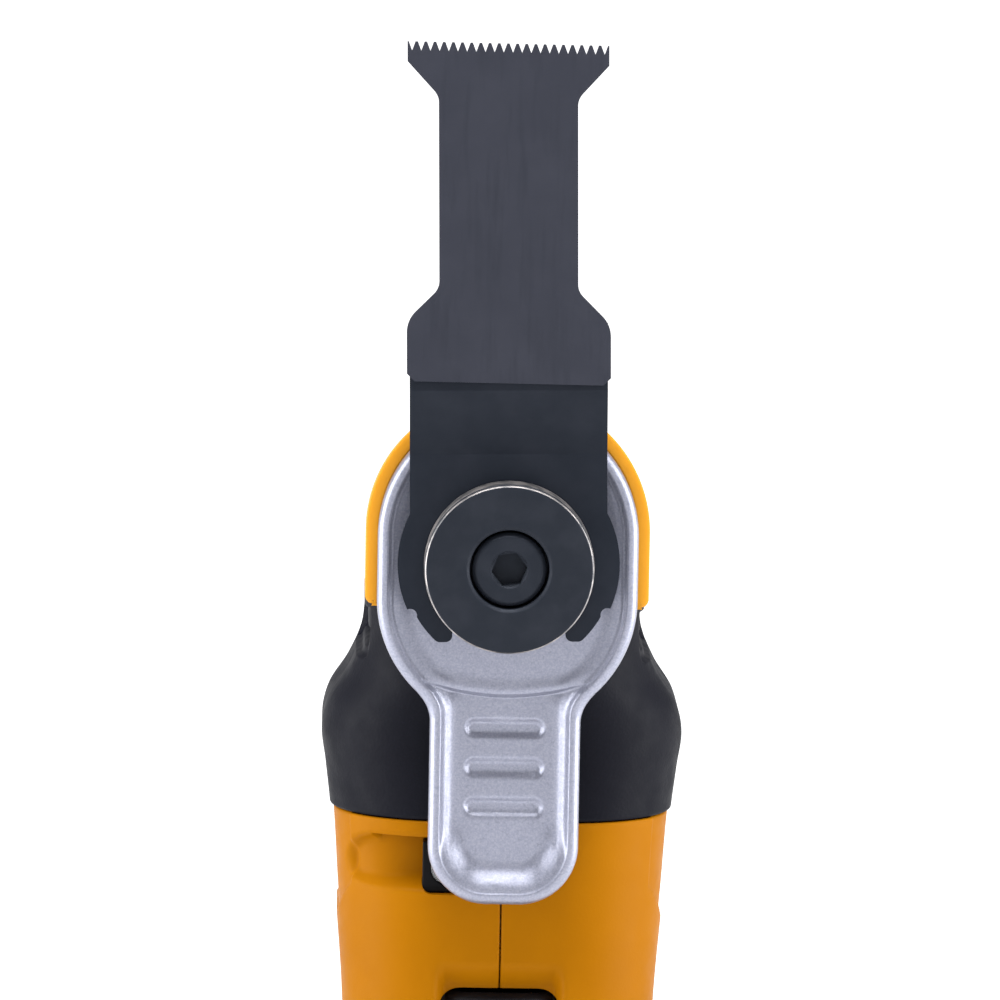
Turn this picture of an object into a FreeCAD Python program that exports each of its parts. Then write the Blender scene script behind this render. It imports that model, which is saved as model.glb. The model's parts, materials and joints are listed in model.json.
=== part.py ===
import FreeCAD, Part
import math
import os
import re
import Sketcher

# Cordless oscillating multi tool with a lever-released blade clamp, in millimetres.
# +Z runs up the barrel from the battery's base to the blade, the clamp side faces -Y,
# and the origin is on the battery's base under the barrel's axis.

Vector = FreeCAD.Vector
Rotation = FreeCAD.Rotation

DIMENSIONS = {
    # head and drive
    "spindle_z": 277, "spindle_r": 7.5, "spindle_bore_r": 4.08, "flange_r": 14.1, "flange_front": -38.8,
    "flange_thick": 2.5, "bearing_r": 14, "bearing_wide": 7, "bearing_front": -24.5, "rear_bearing_r": 12,
    "rear_bearing_y": 14.5, "rear_bearing_wide": 6, "rear_journal_r": 6, "case_front": -25.5, "case_back": 21,
    "case_r": 17, "case_rear_r": 14.2, "case_cavity_r": 12.3, "neck_case_r": 16.6, "neck_cavity_r": 14.2,
    "neck_case_low": 227, "motor_y": 5.5, "throw": 0.7, "eccentric_z": 249, "eccentric_wide": 8,
    "eccentric_r": 6.5, "fork_slot": 7.45, "fork_arm": 3.6, "fork_wide": 12, "fork_low": 247.6,
    # clamp
    "rod_r": 4, "rod_front": -40, "rod_step": -8, "rod_tail_r": 2.7, "rod_back": 18, "pin_r": 1.5,
    "collar_r": 12.6, "collar_back": -29.2, "collar_thick": 3.6, "washer_r": 13.6, "washer_thick": 7.2,
    "washer_chamfer": 1.1, "recess_r": 6.4, "recess_deep": 4.6, "screw_head_r": 5.95, "screw_head": 4.1,
    "socket_flats": 5, "socket_deep": 2.6, "screw_r": 3, "screw_long": 9, "clamp_travel": 2.85,
    # lever
    "ring_r": 21, "ring_high": 3.6, "ring_low": 6.4, "ring_hole": 15.4, "ring_hole_up": 0.9, "lever_rim": -34.8,
    "lever_floor": -33.6, "lever_back": -31.4, "rim_wide": 1.3, "tongue_half": 11.9, "tongue_end": 56.2,
    "tongue_corner": 9.4, "tongue_floor": -32.7, "tongue_back": -30.4, "pivot_y": -24.5, "pivot_drop": 25,
    "pivot_r": 2, "ear_in": 7.2, "ear_out": 10, "ear_r": 4, "lug_half": 4.4, "lug_r": 4.5,
    "groove_long": 13.3, "groove_high": 3.4, "groove_pitch": 6.45, "groove_first": 27.6, "groove_deep": 0.8,
    # blade
    "plate_thick": 1.2, "blade_thick": 0.8, "hub_r": 17.8, "leg_r": 17, "notch_r": 1.1, "hub_slot": 8.9, "plate_half": 15.8,
    "joggle": 3.4, "joggle_low": 17.8, "joggle_high": 28.4, "plate_top": 39.1, "blade_low": 29.6,
    "blade_half": 16.25, "shank_half": 11.05, "flare_low": 39.3, "flare_high": 44.5, "tee_low": 75.2,
    "tee_side": 80.6, "blade_top": 83.75, "tee_half": 16, "teeth": 22, "tooth_deep": 1.45, "leg_low": 12.5,
    "blade_skew": 1.1, "blade_slant": 0.026, "pin_circle": 11.2, "pin_hole_r": 1.58,
    # nose and casing
    "nose_low": 268.5, "nose_wall": 2.2, "neck_low": 232.5, "rubber": 1.8, "wall": 3.4, "neck_wall": 4.6,
    "casing_low": 48.4, "seam": 0.15, "reveal": 0.5,
    # trigger
    "trigger_half": 9.2, "trigger_low": 128, "trigger_top": 204.7, "trigger_front": -31.6,
    "trigger_back": -18, "trigger_pin_y": -21, "trigger_pin_z": 197, "slot_gap": 0.9,
    # work light and its scoop
    "light_x": -8.6, "light_y": -23.8, "light_z": 225.2, "light_half": 4.2, "scoop_z": 225.8, "scoop_high": 8.4,
    # motor
    "motor_r": 17.5, "stator_low": 158, "stator_high": 186, "shaft_r": 2.5, "rotor_r": 9.2,
    # battery
    "pack_half": 37.5, "pack_front": -62, "pack_back": 50, "pack_top": 48, "pack_split": 27,
    "pack_wall": 2.4, "pack_corner": 9, "tower_half": 22, "rail_half": 25.2, "rail_low": 56, "tower_top": 61.4,
    "tower_front": -46, "tower_back": 30, "cell_r": 9.15, "cell_long": 65, "cell_pitch": 18.7,
}

doc = FreeCAD.newDocument("oscillating_multi_tool")
sheet = doc.addObject("Spreadsheet::Sheet", "Dims")
for row, (alias, number) in enumerate(DIMENSIONS.items(), start=1):
    sheet.set(f"A{row}", alias)
    sheet.set(f"B{row}", str(number))
    sheet.setAlias(f"B{row}", alias)
doc.recompute()

parts = []


def cells(text):
    """Write an expression with every alias read from the sheet."""
    return re.sub(r"[a-z]\w*", lambda word: f"Dims.{word[0]}" if word[0] in DIMENSIONS else word[0], str(text))


def value(text):
    return float(sheet.evalExpression(cells(text)))


def bind(thing, prop, text):
    thing.setExpression(prop, cells(text))


def place(thing, x=0, y=0, z=0, turn=None):
    thing.Placement = FreeCAD.Placement(Vector(value(x), value(y), value(z)), turn or Rotation())
    for axis, text in zip("xyz", (x, y, z)):
        bind(thing, f"Placement.Base.{axis}", text)
    return thing


TURNS = {
    "X": Rotation(Vector(0, 1, 0), 90),
    "Y": Rotation(Vector(1, 0, 0), -90),
    "Z": Rotation(),
}


def box(name, x, y, z, long, wide, high):
    """A box from its low corner and its three sizes."""
    solid = doc.addObject("Part::Box", name)
    bind(solid, "Length", long)
    bind(solid, "Width", wide)
    bind(solid, "Height", high)
    return place(solid, x, y, z)


def span(name, half, low_y, high_y, low_z, high_z):
    """A box centred on X between two Y and two Z limits."""
    return box(name, f"-({half})", low_y, low_z, f"2*({half})", f"({high_y})-({low_y})", f"({high_z})-({low_z})")


def cylinder(name, axis, radius, long, x=0, y=0, z=0):
    solid = doc.addObject("Part::Cylinder", name)
    bind(solid, "Radius", radius)
    bind(solid, "Height", long)
    return place(solid, x, y, z, TURNS[axis])


def tube(name, axis, outer, inner, long, x=0, y=0, z=0):
    hole_x, hole_y, hole_z = (f"({at})-({1 if axis == letter else 0})" for at, letter in zip((x, y, z), "XYZ"))
    hole = cylinder(f"{name}_hole", axis, inner, f"({long})+2", hole_x, hole_y, hole_z)
    return cut(name, cylinder(f"{name}_rod", axis, outer, long, x, y, z), hole)


def fuse(name, *shapes):
    if len(shapes) == 1:
        return shapes[0]
    solid = doc.addObject("Part::MultiFuse", name)
    solid.Shapes = list(shapes)
    return solid


def cut(name, base, *tools):
    solid = doc.addObject("Part::Cut", name)
    solid.Base = base
    solid.Tool = fuse(f"{name}_tools", *tools)
    return solid


def common(name, *shapes):
    solid = doc.addObject("Part::MultiCommon", name)
    solid.Shapes = list(shapes)
    return solid


def group(name, shapes):
    solid = doc.addObject("Part::Compound", name)
    solid.Links = list(shapes)
    return solid


def part(label, solid):
    """Keep this object as a sub-part under its own label."""
    solid.Label = label
    parts.append(solid)
    return solid


def rounded(name, base, radius, picked):
    """Round the edges of base whose middle point passes the test."""
    doc.recompute()
    solid = doc.addObject("Part::Fillet", name)
    solid.Base = base
    edges = []
    for number, edge in enumerate(base.Shape.Edges, start=1):
        if picked(edge.valueAt((edge.FirstParameter + edge.LastParameter) / 2), edge):
            edges.append((number, value(radius), value(radius)))
    solid.Edges = edges
    return solid


def body_sketch(body, name, role, offset=0):
    sketch = body.newObject("Sketcher::SketchObject", name)
    plane = [item for item in body.Origin.OriginFeatures if item.Role == role][0]
    sketch.AttachmentSupport = [(plane, "")]
    sketch.MapMode = "FlatFace"
    sketch.AttachmentOffset = FreeCAD.Placement(Vector(0, 0, value(offset)), Rotation())
    bind(sketch, "AttachmentOffset.Base.z", offset)
    return sketch


def pin_point(sketch, index, end, x, y):
    """Hold one end of a sketch line at bound coordinates."""
    for kind, text in (("DistanceX", x), ("DistanceY", y)):
        number = sketch.addConstraint(Sketcher.Constraint(kind, -1, 1, index, end, value(text)))
        bind(sketch, f"Constraints[{number}]", text)


def outline(sketch, points):
    """A closed outline of straight lines through bound points."""
    spots = [Vector(value(x), value(y), 0) for x, y in points]
    count = len(spots)
    for index in range(count):
        sketch.addGeometry(Part.LineSegment(spots[index], spots[(index + 1) % count]), False)
    for index in range(count):
        sketch.addConstraint(Sketcher.Constraint("Coincident", index, 2, (index + 1) % count, 1))
    for index, (x, y) in enumerate(points):
        pin_point(sketch, index, 1, x, y)


def turned(label, axis, points, x=0, y=0, z=0):
    """A turned piece from (radius, height) points about an axis through its base."""
    body = doc.addObject("PartDesign::Body", label)
    sketch = body_sketch(body, f"{label}_profile", "XZ_Plane")
    outline(sketch, points)
    turn = body.newObject("PartDesign::Revolution", f"{label}_turn")
    turn.Profile = sketch
    turn.ReferenceAxis = (sketch, ["V_Axis"])
    turn.Angle = 360
    return place(body, x, y, z, TURNS[axis])


def padded(label, role, points, thick, offset=0, x=0, y=0, z=0):
    """A plate from an outline, thick both ways about its plane when offset is 0."""
    body = doc.addObject("PartDesign::Body", label)
    sketch = body_sketch(body, f"{label}_outline", role, offset)
    outline(sketch, points)
    pad = body.newObject("PartDesign::Pad", f"{label}_pad")
    pad.Profile = sketch
    bind(pad, "Length", thick)
    pad.Midplane = True
    return place(body, x, y, z)


def rounded_rectangle(sketch, low_x, high_x, low_y, high_y, corner):
    """Four lines and four corner arcs, held by bound end points and radii."""
    in_x, out_x = f"({low_x})+({corner})", f"({high_x})-({corner})"
    in_y, out_y = f"({low_y})+({corner})", f"({high_y})-({corner})"
    ends = [((in_x, low_y), (out_x, low_y)), ((high_x, in_y), (high_x, out_y)),
            ((out_x, high_y), (in_x, high_y)), ((low_x, out_y), (low_x, in_y))]
    centres = [(out_x, in_y), (out_x, out_y), (in_x, out_y), (in_x, in_y)]
    for (start_x, start_y), (end_x, end_y) in ends:
        start = Vector(value(start_x), value(start_y), 0)
        sketch.addGeometry(Part.LineSegment(start, Vector(value(end_x), value(end_y), 0)), False)
    for index, (x, y) in enumerate(centres):
        circle = Part.Circle(Vector(value(x), value(y), 0), Vector(0, 0, 1), value(corner))
        first = math.radians(-90 + 90 * index)
        sketch.addGeometry(Part.ArcOfCircle(circle, first, first + math.pi / 2), False)
    for index, (start, end) in enumerate(ends):
        pin_point(sketch, index, 1, *start)
        pin_point(sketch, index, 2, *end)
    for index in range(4):
        arc = 4 + index
        sketch.addConstraint(Sketcher.Constraint("Coincident", arc, 1, index, 2))
        sketch.addConstraint(Sketcher.Constraint("Coincident", arc, 2, (index + 1) % 4, 1))
        number = sketch.addConstraint(Sketcher.Constraint("Radius", arc, value(corner)))
        bind(sketch, f"Constraints[{number}]", corner)


def lofted(name, role, sections):
    """A loft through rounded rectangles: (offset, low_x, high_x, low_y, high_y, corner)."""
    body = doc.addObject("PartDesign::Body", name)
    sketches = []
    for index, (offset, *edges) in enumerate(sections):
        sketch = body_sketch(body, f"{name}_section{index}", role, offset)
        rounded_rectangle(sketch, *edges)
        sketches.append(sketch)
    loft = body.newObject("PartDesign::AdditiveLoft", f"{name}_loft")
    loft.Profile = sketches[0]
    loft.Sections = sketches[1:]
    return body


# ---- Outer form of the casing, from the battery foot to the head -------------------------------
# height, half width, front, back, corner radius
CASING = [
    (48.4, 36.5, -58, 46, 12), (60, 36.3, -57, 45, 12), (72, 33, -50, 40.5, 14), (88, 28, -37, 34, 16.5),
    (110, 24.8, -29, 29.6, 17), (140, 24, -27.2, 28, 17), (175, 24.4, -27.4, 28, 17),
    (203, 25.6, -26.8, 28.5, 17), (220, 27, -25.6, 29, 18), (232.5, 27.9, -25.4, 29.5, 18.5),
    (240, 28.8, -25.4, 30, 19), (245.7, 29.5, -25.6, 30, 19.3), (250.5, 28.4, -26.2, 29.8, 19),
    (255.5, 25.3, -27.4, 29, 18.5), (261, 23.1, -28.3, 28, 17.5), (268.5, 22.8, -28.5, 27, 17),
]


def casing_form(name, inset, neck_inset):
    """The casing's form, moved inwards by one amount below the neck and another above it."""
    sections = []
    for height, half, front, back, corner in CASING:
        step = neck_inset if height > value("neck_low") else inset
        reach = 0.2 if height == CASING[-1][0] or height == CASING[0][0] else 0
        lift = height + reach * (1 if height > 100 else -1) * (1 if value(step) else 0)
        sections.append((lift, f"-{half}+({step})", f"{half}-({step})", f"{front}+({step})",
                         f"{back}-({step})", f"{corner}-({step})"))
    return lofted(name, "XY_Plane", sections)


outer_form = casing_form("outer_form", "0", "0")
skin_form = casing_form("skin_form", "rubber", "rubber")
inner_form = casing_form("inner_form", "wall", "neck_wall")
BIG = 200

# the T-shaped channel that the battery's rail slides in, open at the front
channel = fuse("channel",
               span("channel_mouth", "tower_half+0.6", -BIG, "tower_back+2", "casing_low-1", "rail_low-0.3"),
               span("channel_wide", "rail_half+0.6", -BIG, "tower_back+2", "rail_low-0.6", "tower_top+0.8"),
               span("channel_end", 20.2, "tower_back+1", "tower_back+7.8", "casing_low-1", 62))
channel_wall = span("channel_wall", "rail_half+3", -BIG, "tower_back+8", "casing_low", "tower_top+3.4")
# groove that the latch tooth rides in
latch_groove = span("latch_groove", 9, -BIG, -48, "casing_low-1", "rail_low")

# screw posts: depth and height of each screw along X
SCREW_POSTS = [(22, 210), (-18, 102), (21, 98), (-40, 71), (38, 68)]
screw_shanks = []
screw_pockets = []
posts = []
for index, (depth, height) in enumerate(SCREW_POSTS):
    posts.append(cylinder(f"post{index}", "X", 3.8, 120, -60, depth, height))
    screw_shanks.append(cylinder(f"screw_way{index}", "X", 1.5, 30, -12, depth, height))
    screw_pockets.append(cylinder(f"screw_pocket{index}", "X", 3.6, 60, 17, depth, height))

trigger_hole = span("trigger_hole", "trigger_half+slot_gap", "-60", "trigger_pin_y+8",
                    "trigger_low-2.4", "trigger_top+slot_gap")
trigger_flare = padded("trigger_flare", "YZ_Plane",
                       [(-40, "trigger_low-7"), (-40, "trigger_top+6.6"), (-26.4, "trigger_top+3.8"),
                        (-23.5, "trigger_top"), (-23.5, "trigger_low")], "2*(trigger_half+slot_gap)")
trigger_bosses = span("trigger_bosses", "trigger_half+slot_gap+4.5", "-25.5", "trigger_pin_y+4",
                      "trigger_pin_z-4", "trigger_pin_z+4")
trigger_pin_way = cylinder("trigger_pin_way", "X", "pin_r", 28, -14, "trigger_pin_y", "trigger_pin_z")
lever_window = span("lever_window", "ear_out+0.9", "-60", "-13", "spindle_z-pivot_drop-8",
                    "spindle_z-pivot_drop+9")
light_scoop = padded("light_scoop", "XY_Plane",
                     [(-40, -60), (-7, -60), (-7, -21.6), (-24.5, -21.6), (-40, -11)], "scoop_high", 0, 0, 0,
                     "scoop_z")
light_socket = box("light_socket", "light_x-light_half-0.2", "light_y-0.2", "light_z-light_half-0.2",
                   "2*light_half+0.4", 5, "2*light_half+0.4")
side_recess = padded("side_recess", "YZ_Plane",
                     [(-17, "neck_low"), (-17, 221.5), (-10, 215.5), (19, 215.5), (19, "neck_low")], 80)
side_recesses = cut("side_recesses", side_recess, skin_form)
button_way = cylinder("button_way", "X", 4.6, 40, -45, 2, 124)
rear_pocket = padded("rear_pocket", "YZ_Plane",
                     [(12, 108), (60, 96), (60, 216), (12, 204)], 34)
guide_slots = cut("guide_slots", span("guide_slot_bar", 40, -16, 10, 259.5, 263.5),
                  span("guide_slot_core", 20.9, -30, 40, 250, 270))
vents = []
for index in range(6):
    vents.append(span(f"vent{index}", 60, -1, 13, f"{190}+{index}*4.2", f"{192}+{index}*4.2"))
# room for the gear case, the bearing cover and its screws
case_room = fuse("case_room",
                 cylinder("case_head_room", "Y", "case_r+0.3", 42.3, 0, -40, "spindle_z"),
                 cylinder("case_rear_room", "Y", "case_rear_r+0.3", 25.4, 0, 0, "spindle_z"))
casing_cutouts = fuse("casing_cutouts", case_room, channel, latch_groove, trigger_hole, trigger_flare, lever_window,
                      light_scoop, light_socket, side_recesses, button_way, guide_slots, *vents)
lower_form = common("lower_form", outer_form, span("below_neck", 80, -90, 90, 0, "neck_low"))
upper_form = common("upper_form", skin_form, span("above_neck", 80, -90, 90, "neck_low", 300))
rear_bed = common("rear_bed", cut("rear_shell", outer_form, skin_form), rear_pocket)
casing_shell = cut("casing_shell", fuse("casing_solid", lower_form, upper_form), inner_form)
casing_ribs = common("casing_ribs", fuse("rib_set", channel_wall, trigger_bosses, *posts), outer_form)
SIDES = {"left": -1, "right": 1}


def side_box(name, side):
    """Everything on one side of the middle seam."""
    low = f"-{BIG}" if SIDES[side] < 0 else "seam/2"
    return box(name, low, -BIG, 0, f"{BIG}-seam/2", 2 * BIG, 2 * BIG)


def housing(side):
    # ways for the posts' screws: threaded on the left, clear on the right
    ways = list(screw_shanks) + ([] if side == "left" else screw_pockets)
    whole = fuse(f"housing_{side}_whole", casing_shell, casing_ribs)
    hollow = cut(f"housing_{side}_hollow", whole, casing_cutouts, rear_bed, trigger_pin_way, *ways)
    return part(f"housing_{side}", common(f"housing_{side}", hollow, side_box(f"{side}_half", side)))


for side in SIDES:
    housing(side)

neck_band = cut("neck_band", common("neck_solid", outer_form,
                                    span("neck_zone", 80, -90, 90, "neck_low+reveal", "nose_low")), skin_form)
for side in SIDES:
    sleeve = cut(f"neck_sleeve_{side}", neck_band, lever_window, guide_slots, case_room)
    part(f"neck_grip_{side}", common(f"neck_grip_{side}", sleeve, side_box(f"neck_{side}_half", side)))
part("rear_grip", cut("rear_grip", rear_bed, span("rear_grip_reveal", 80, -90, 5, 0, 300)))

screws = []
for index, (depth, height) in enumerate(SCREW_POSTS):
    screws.append(turned(f"screw{index}", "X",
                         [(0, 0), (1.5, 0), (1.5, 28.8), (3.3, 28.8), (3.3, 31), (1.4, 31), (1.4, 29.8), (0, 29.8)],
                         -11.8, depth, height))
part("housing_screws", group("housing_screws", screws))

# ---- Nose cover --------------------------------------------------------------------------------
# depth, half width, top above the spindle axis, corner radius
NOSE = [(-30.6, 22.9, 26.4, 22.3), (-12, 22.9, 23.9, 21.6), (6, 22.4, 21.2, 20.8), (18, 21.2, 19, 19.4),
        (25, 19, 16, 17.4), (29.5, 15, 11.4, 13.6)]


def nose_form(name, inset):
    sections = []
    for depth, half, top, corner in NOSE:
        edge = 0 if inset == "0" else (0.3 if depth < 0 and depth < -30 else 0)
        end = "nose_wall" if depth > 29 and inset != "0" else "0"
        # the XZ plane's normal is -Y, so the offset is the depth's negative
        sections.append((f"-({depth})+({edge})+({end})", f"-{half}+({inset})", f"{half}-({inset})", 225,
                         f"spindle_z+{top}-({inset})", f"{corner}-({inset})"))
    return lofted(name, "XZ_Plane", sections)


nose_outer = nose_form("nose_outer", "0")
nose_inner = nose_form("nose_inner", "nose_wall")
nose_zone = span("nose_zone", 80, -90, 90, "nose_low", 330)
nose_front = cut("nose_front", common("nose_front_plate", nose_outer,
                                      span("nose_front_zone", 60, -30.6, -28.6, "nose_low", 330)),
                 cylinder("nose_mouth", "Y", 17.4, 20, 0, -40, "spindle_z"),
                 span("nose_mouth_low", 17.4, -40, -20, 260, "spindle_z"))
nose_shell = common("nose_shell", cut("nose_hollow", nose_outer, nose_inner), nose_zone)
part("nose_cover", cut("nose_cover", fuse("nose_whole", nose_shell, nose_front),
                       span("nose_seat", 80, -90, 90, 260, "nose_low+0.3")))

# ---- Gear case ---------------------------------------------------------------------------------
case_solid = fuse("case_solid",
                  cylinder("case_head", "Y", "case_r", "2-case_front", 0, "case_front", "spindle_z"),
                  cylinder("case_rear", "Y", "case_rear_r", "case_back", 0, 0, "spindle_z"),
                  cylinder("case_neck", "Z", "neck_case_r", "270-neck_case_low", 0, "motor_y", "neck_case_low"),
                  span("case_lug", "lug_half", "pivot_y", "-9.4", "spindle_z-pivot_drop-lug_r",
                       "spindle_z-pivot_drop+lug_r"),
                  cylinder("case_lug_end", "X", "lug_r", "2*lug_half", "-lug_half", "pivot_y",
                           "spindle_z-pivot_drop"))
case_hollow = fuse("case_hollow",
                   cylinder("front_mouth", "Y", 10.5, 30, 0, -30, "spindle_z"),
                   cylinder("front_seat", "Y", "bearing_r", "bearing_wide", 0, "bearing_front", "spindle_z"),
                   cylinder("case_cavity", "Y", "case_cavity_r", "rear_bearing_y-bearing_front-bearing_wide",
                            0, "bearing_front+bearing_wide", "spindle_z"),
                   cylinder("rear_seat", "Y", "rear_bearing_r", 20, 0, "rear_bearing_y", "spindle_z"),
                   cylinder("neck_cavity", "Z", "neck_cavity_r", "265-(neck_case_low+4)", 0, "motor_y",
                            "neck_case_low+4"),
                   span("fork_room", 11.9, "motor_y-7", "motor_y+7", 262, "spindle_z-2"),
                   span("rear_face", 30, "case_back", 40, 262, 300),
                   cylinder("shaft_mouth", "Z", 10.8, 10, 0, "motor_y", "neck_case_low-1"),
                   cylinder("lug_bore", "X", "pivot_r+0.05", 40, -20, "pivot_y", "spindle_z-pivot_drop"))
part("gear_case", cut("gear_case", case_solid, case_hollow))

cover_ways = []
cover_screws = []
for index in range(4):
    angle = math.radians(45 + 90 * index)
    reach_x, reach_z = 9.6 * math.cos(angle), 9.6 * math.sin(angle)
    cover_ways.append(cylinder(f"cover_way{index}", "Y", 1.1, 10, reach_x, 17, f"spindle_z+{reach_z}"))
    cover_screws.append(turned(f"cover_screw{index}", "Y",
                               [(0, 0), (1.1, 0), (1.1, 2.2), (2, 2.2), (2, 3.4), (0, 3.4)],
                               reach_x, "case_back+0.1", f"spindle_z+{reach_z}"))
cover_plate = turned("cover_plate", "Y", [(0, 0), (12.2, 0), (12.2, 2.3), (0, 2.3)], 0, "case_back", "spindle_z")
part("gear_case_cover", cut("gear_case_cover", cover_plate, *cover_ways))
part("cover_screws", group("cover_screws", cover_screws))


def bearing(label, axis, inner, outer, wide, x, y, z):
    """A sealed ball bearing: two rings with a recessed shield between them."""
    lip = (outer - inner) / 4
    points = [(inner, 0), (inner + lip, 0), (inner + lip, 0.4), (outer - lip, 0.4), (outer - lip, 0), (outer, 0),
              (outer, wide), (outer - lip, wide), (outer - lip, wide - 0.4), (inner + lip, wide - 0.4),
              (inner + lip, wide), (inner, wide)]
    return part(label, turned(label, axis, points, x, y, z))


bearing("spindle_front_bearing", "Y", value("spindle_r") + 0.03, value("bearing_r"), value("bearing_wide"),
        0, "bearing_front", "spindle_z")
bearing("spindle_rear_bearing", "Y", value("rear_journal_r") + 0.03, value("rear_bearing_r"),
        value("rear_bearing_wide"), 0, "rear_bearing_y", "spindle_z")

# ---- Spindle, fork and clamp -------------------------------------------------------------------
spindle_turned = turned("spindle_turned", "Y",
                        [("spindle_bore_r", "flange_front"), ("flange_r-0.6", "flange_front"),
                         ("flange_r", "flange_front+0.6"), ("flange_r", "flange_front+flange_thick"),
                         ("spindle_r", "flange_front+flange_thick"), ("spindle_r", "rear_bearing_y-0.2"),
                         ("rear_journal_r", "rear_bearing_y-0.2"), ("rear_journal_r", "case_back-0.2"),
                         (5.2, "case_back-0.2"), (5.2, "rod_step+1"), ("spindle_bore_r", "rod_step+1")],
                        0, 0, "spindle_z")
PIN_ANGLES = (0, 45, 90, 135, 180)
drive_pins = []
pin_holes = []
for angle in PIN_ANGLES:
    # the pins turn with the blade's small skew, and the blade's holes are cut before the blade is turned
    turned_angle = math.radians(angle + value("blade_skew"))
    pin_x, pin_z = (value("pin_circle") * math.cos(turned_angle), value("pin_circle") * math.sin(turned_angle))
    hole_x = value("pin_circle") * math.cos(math.radians(angle))
    hole_z = value("pin_circle") * math.sin(math.radians(angle))
    drive_pins.append(cylinder(f"drive_pin{angle}", "Y", 1.5, 1.9, pin_x, "flange_front-1.1",
                               f"spindle_z+{pin_z}"))
    pin_holes.append(cylinder(f"pin_hole{angle}", "Y", "pin_hole_r", 8, hole_x, "flange_front-4",
                              f"spindle_z+{hole_z}"))
collar_mid = "collar_back-collar_thick/2"
slot_reach = "clamp_travel+0.15"
pin_slot = fuse("pin_slot",
                cylinder("pin_slot_back", "X", "pin_r+0.06", 40, -20, collar_mid, "spindle_z"),
                cylinder("pin_slot_front", "X", "pin_r+0.06", 40, -20, f"{collar_mid}-({slot_reach})", "spindle_z"),
                box("pin_slot_mid", -20, f"{collar_mid}-({slot_reach})", "spindle_z-pin_r-0.06", 40, slot_reach,
                    "2*pin_r+0.12"))
part("spindle", cut("spindle", fuse("spindle_with_pins", spindle_turned, *drive_pins), pin_slot))

fork_solid = fuse("fork_solid",
                  cylinder("fork_hub", "Y", 11.6, "fork_wide", 0, "motor_y-fork_wide/2", "spindle_z"),
                  span("fork_arms", "fork_slot+fork_arm", "motor_y-fork_wide/2", "motor_y+fork_wide/2",
                       "fork_low", "spindle_z-8"))
part("drive_fork", cut("drive_fork", fork_solid,
                       cylinder("fork_bore", "Y", "spindle_r", 40, 0, -20, "spindle_z"),
                       span("fork_gap", "fork_slot", -20, 30, 200, "spindle_z-12.6")))

# the screw stops short of the cross pin
screw_end = "rod_front+screw_long-washer_thick+recess_deep"
rod = turned("clamp_rod_turned", "Y",
             [("screw_r", "rod_front"), ("rod_r", "rod_front"), ("rod_r", "rod_step"),
              ("rod_tail_r", "rod_step"), ("rod_tail_r", "rod_back"), (0, "rod_back"), (0, screw_end),
              ("screw_r", screw_end)], 0, 0, "spindle_z")
collar_pin_way = cylinder("collar_pin_way", "X", "pin_r", 60, -30, collar_mid, "spindle_z")
rod_pin_way = cylinder("rod_pin_way", "X", "pin_r", 60, -30, collar_mid, "spindle_z")
part("clamp_rod", cut("clamp_rod", rod, rod_pin_way))
part("collar_cross_pin", cylinder("collar_cross_pin", "X", "pin_r", "2*collar_r-3", "1.5-collar_r", collar_mid,
                                  "spindle_z"))
collar_turned = turned("collar_turned", "Y",
                       [("spindle_r+0.06", "-collar_thick"), ("collar_r-0.8", "-collar_thick"),
                        ("collar_r", "0.8-collar_thick"), ("collar_r", -0.8), ("collar_r-0.8", 0),
                        ("spindle_r+0.06", 0)], 0, "collar_back", "spindle_z")
part("release_collar", cut("release_collar", collar_turned, collar_pin_way))
part("clamp_rod_nut", turned("clamp_rod_nut", "Y", [("rod_tail_r", 0), (4.9, 0), (4.9, 3), ("rod_tail_r", 3)],
                             0, "rod_back-3.2", "spindle_z"))
discs = []
for index in range(9):
    low = (3.0, 4.9) if index % 2 else (4.9, 3.0)
    discs.append(turned(f"spring_disc{index}", "Y",
                        [(3.0, 1.2 if index % 2 else 0), (4.95, 0 if index % 2 else 1.2),
                         (4.95, 0.7 if index % 2 else 1.9), (3.0, 1.9 if index % 2 else 0.7)],
                        0, f"rod_step+1.2+{index}*2.25", "spindle_z"))
part("clamp_spring", group("clamp_spring", discs))

part("clamp_washer", turned("clamp_washer", "Y",
                            [("screw_r+0.1", "-washer_thick+recess_deep"), ("recess_r", "-washer_thick+recess_deep"),
                             ("recess_r", "-washer_thick"), ("washer_r-washer_chamfer", "-washer_thick"),
                             ("washer_r", "-washer_thick+washer_chamfer"), ("washer_r", "-0.5"),
                             ("washer_r-0.5", 0), ("screw_r+0.1", 0)], 0, "rod_front", "spindle_z"))
screw_turned = turned("clamp_screw_turned", "Y",
                      [(0, "-screw_head"), ("screw_head_r-0.6", "-screw_head"), ("screw_head_r", "0.6-screw_head"),
                       ("screw_head_r", 0), ("screw_r", 0), ("screw_r", "screw_long"), (0, "screw_long")],
                      0, "rod_front-washer_thick+recess_deep", "spindle_z")
hex_points = []
for index in range(6):
    angle = 30 + 60 * index
    hex_points.append((f"socket_flats/sqrt(3)*{math.cos(math.radians(angle)):.9f}",
                       f"socket_flats/sqrt(3)*{math.sin(math.radians(angle)):.9f}"))
hex_socket = padded("hex_socket", "XZ_Plane", hex_points, "2*socket_deep", 0, 0,
                    "rod_front-washer_thick+recess_deep-screw_head", "spindle_z")
part("clamp_screw", cut("clamp_screw", screw_turned, hex_socket))

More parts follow.
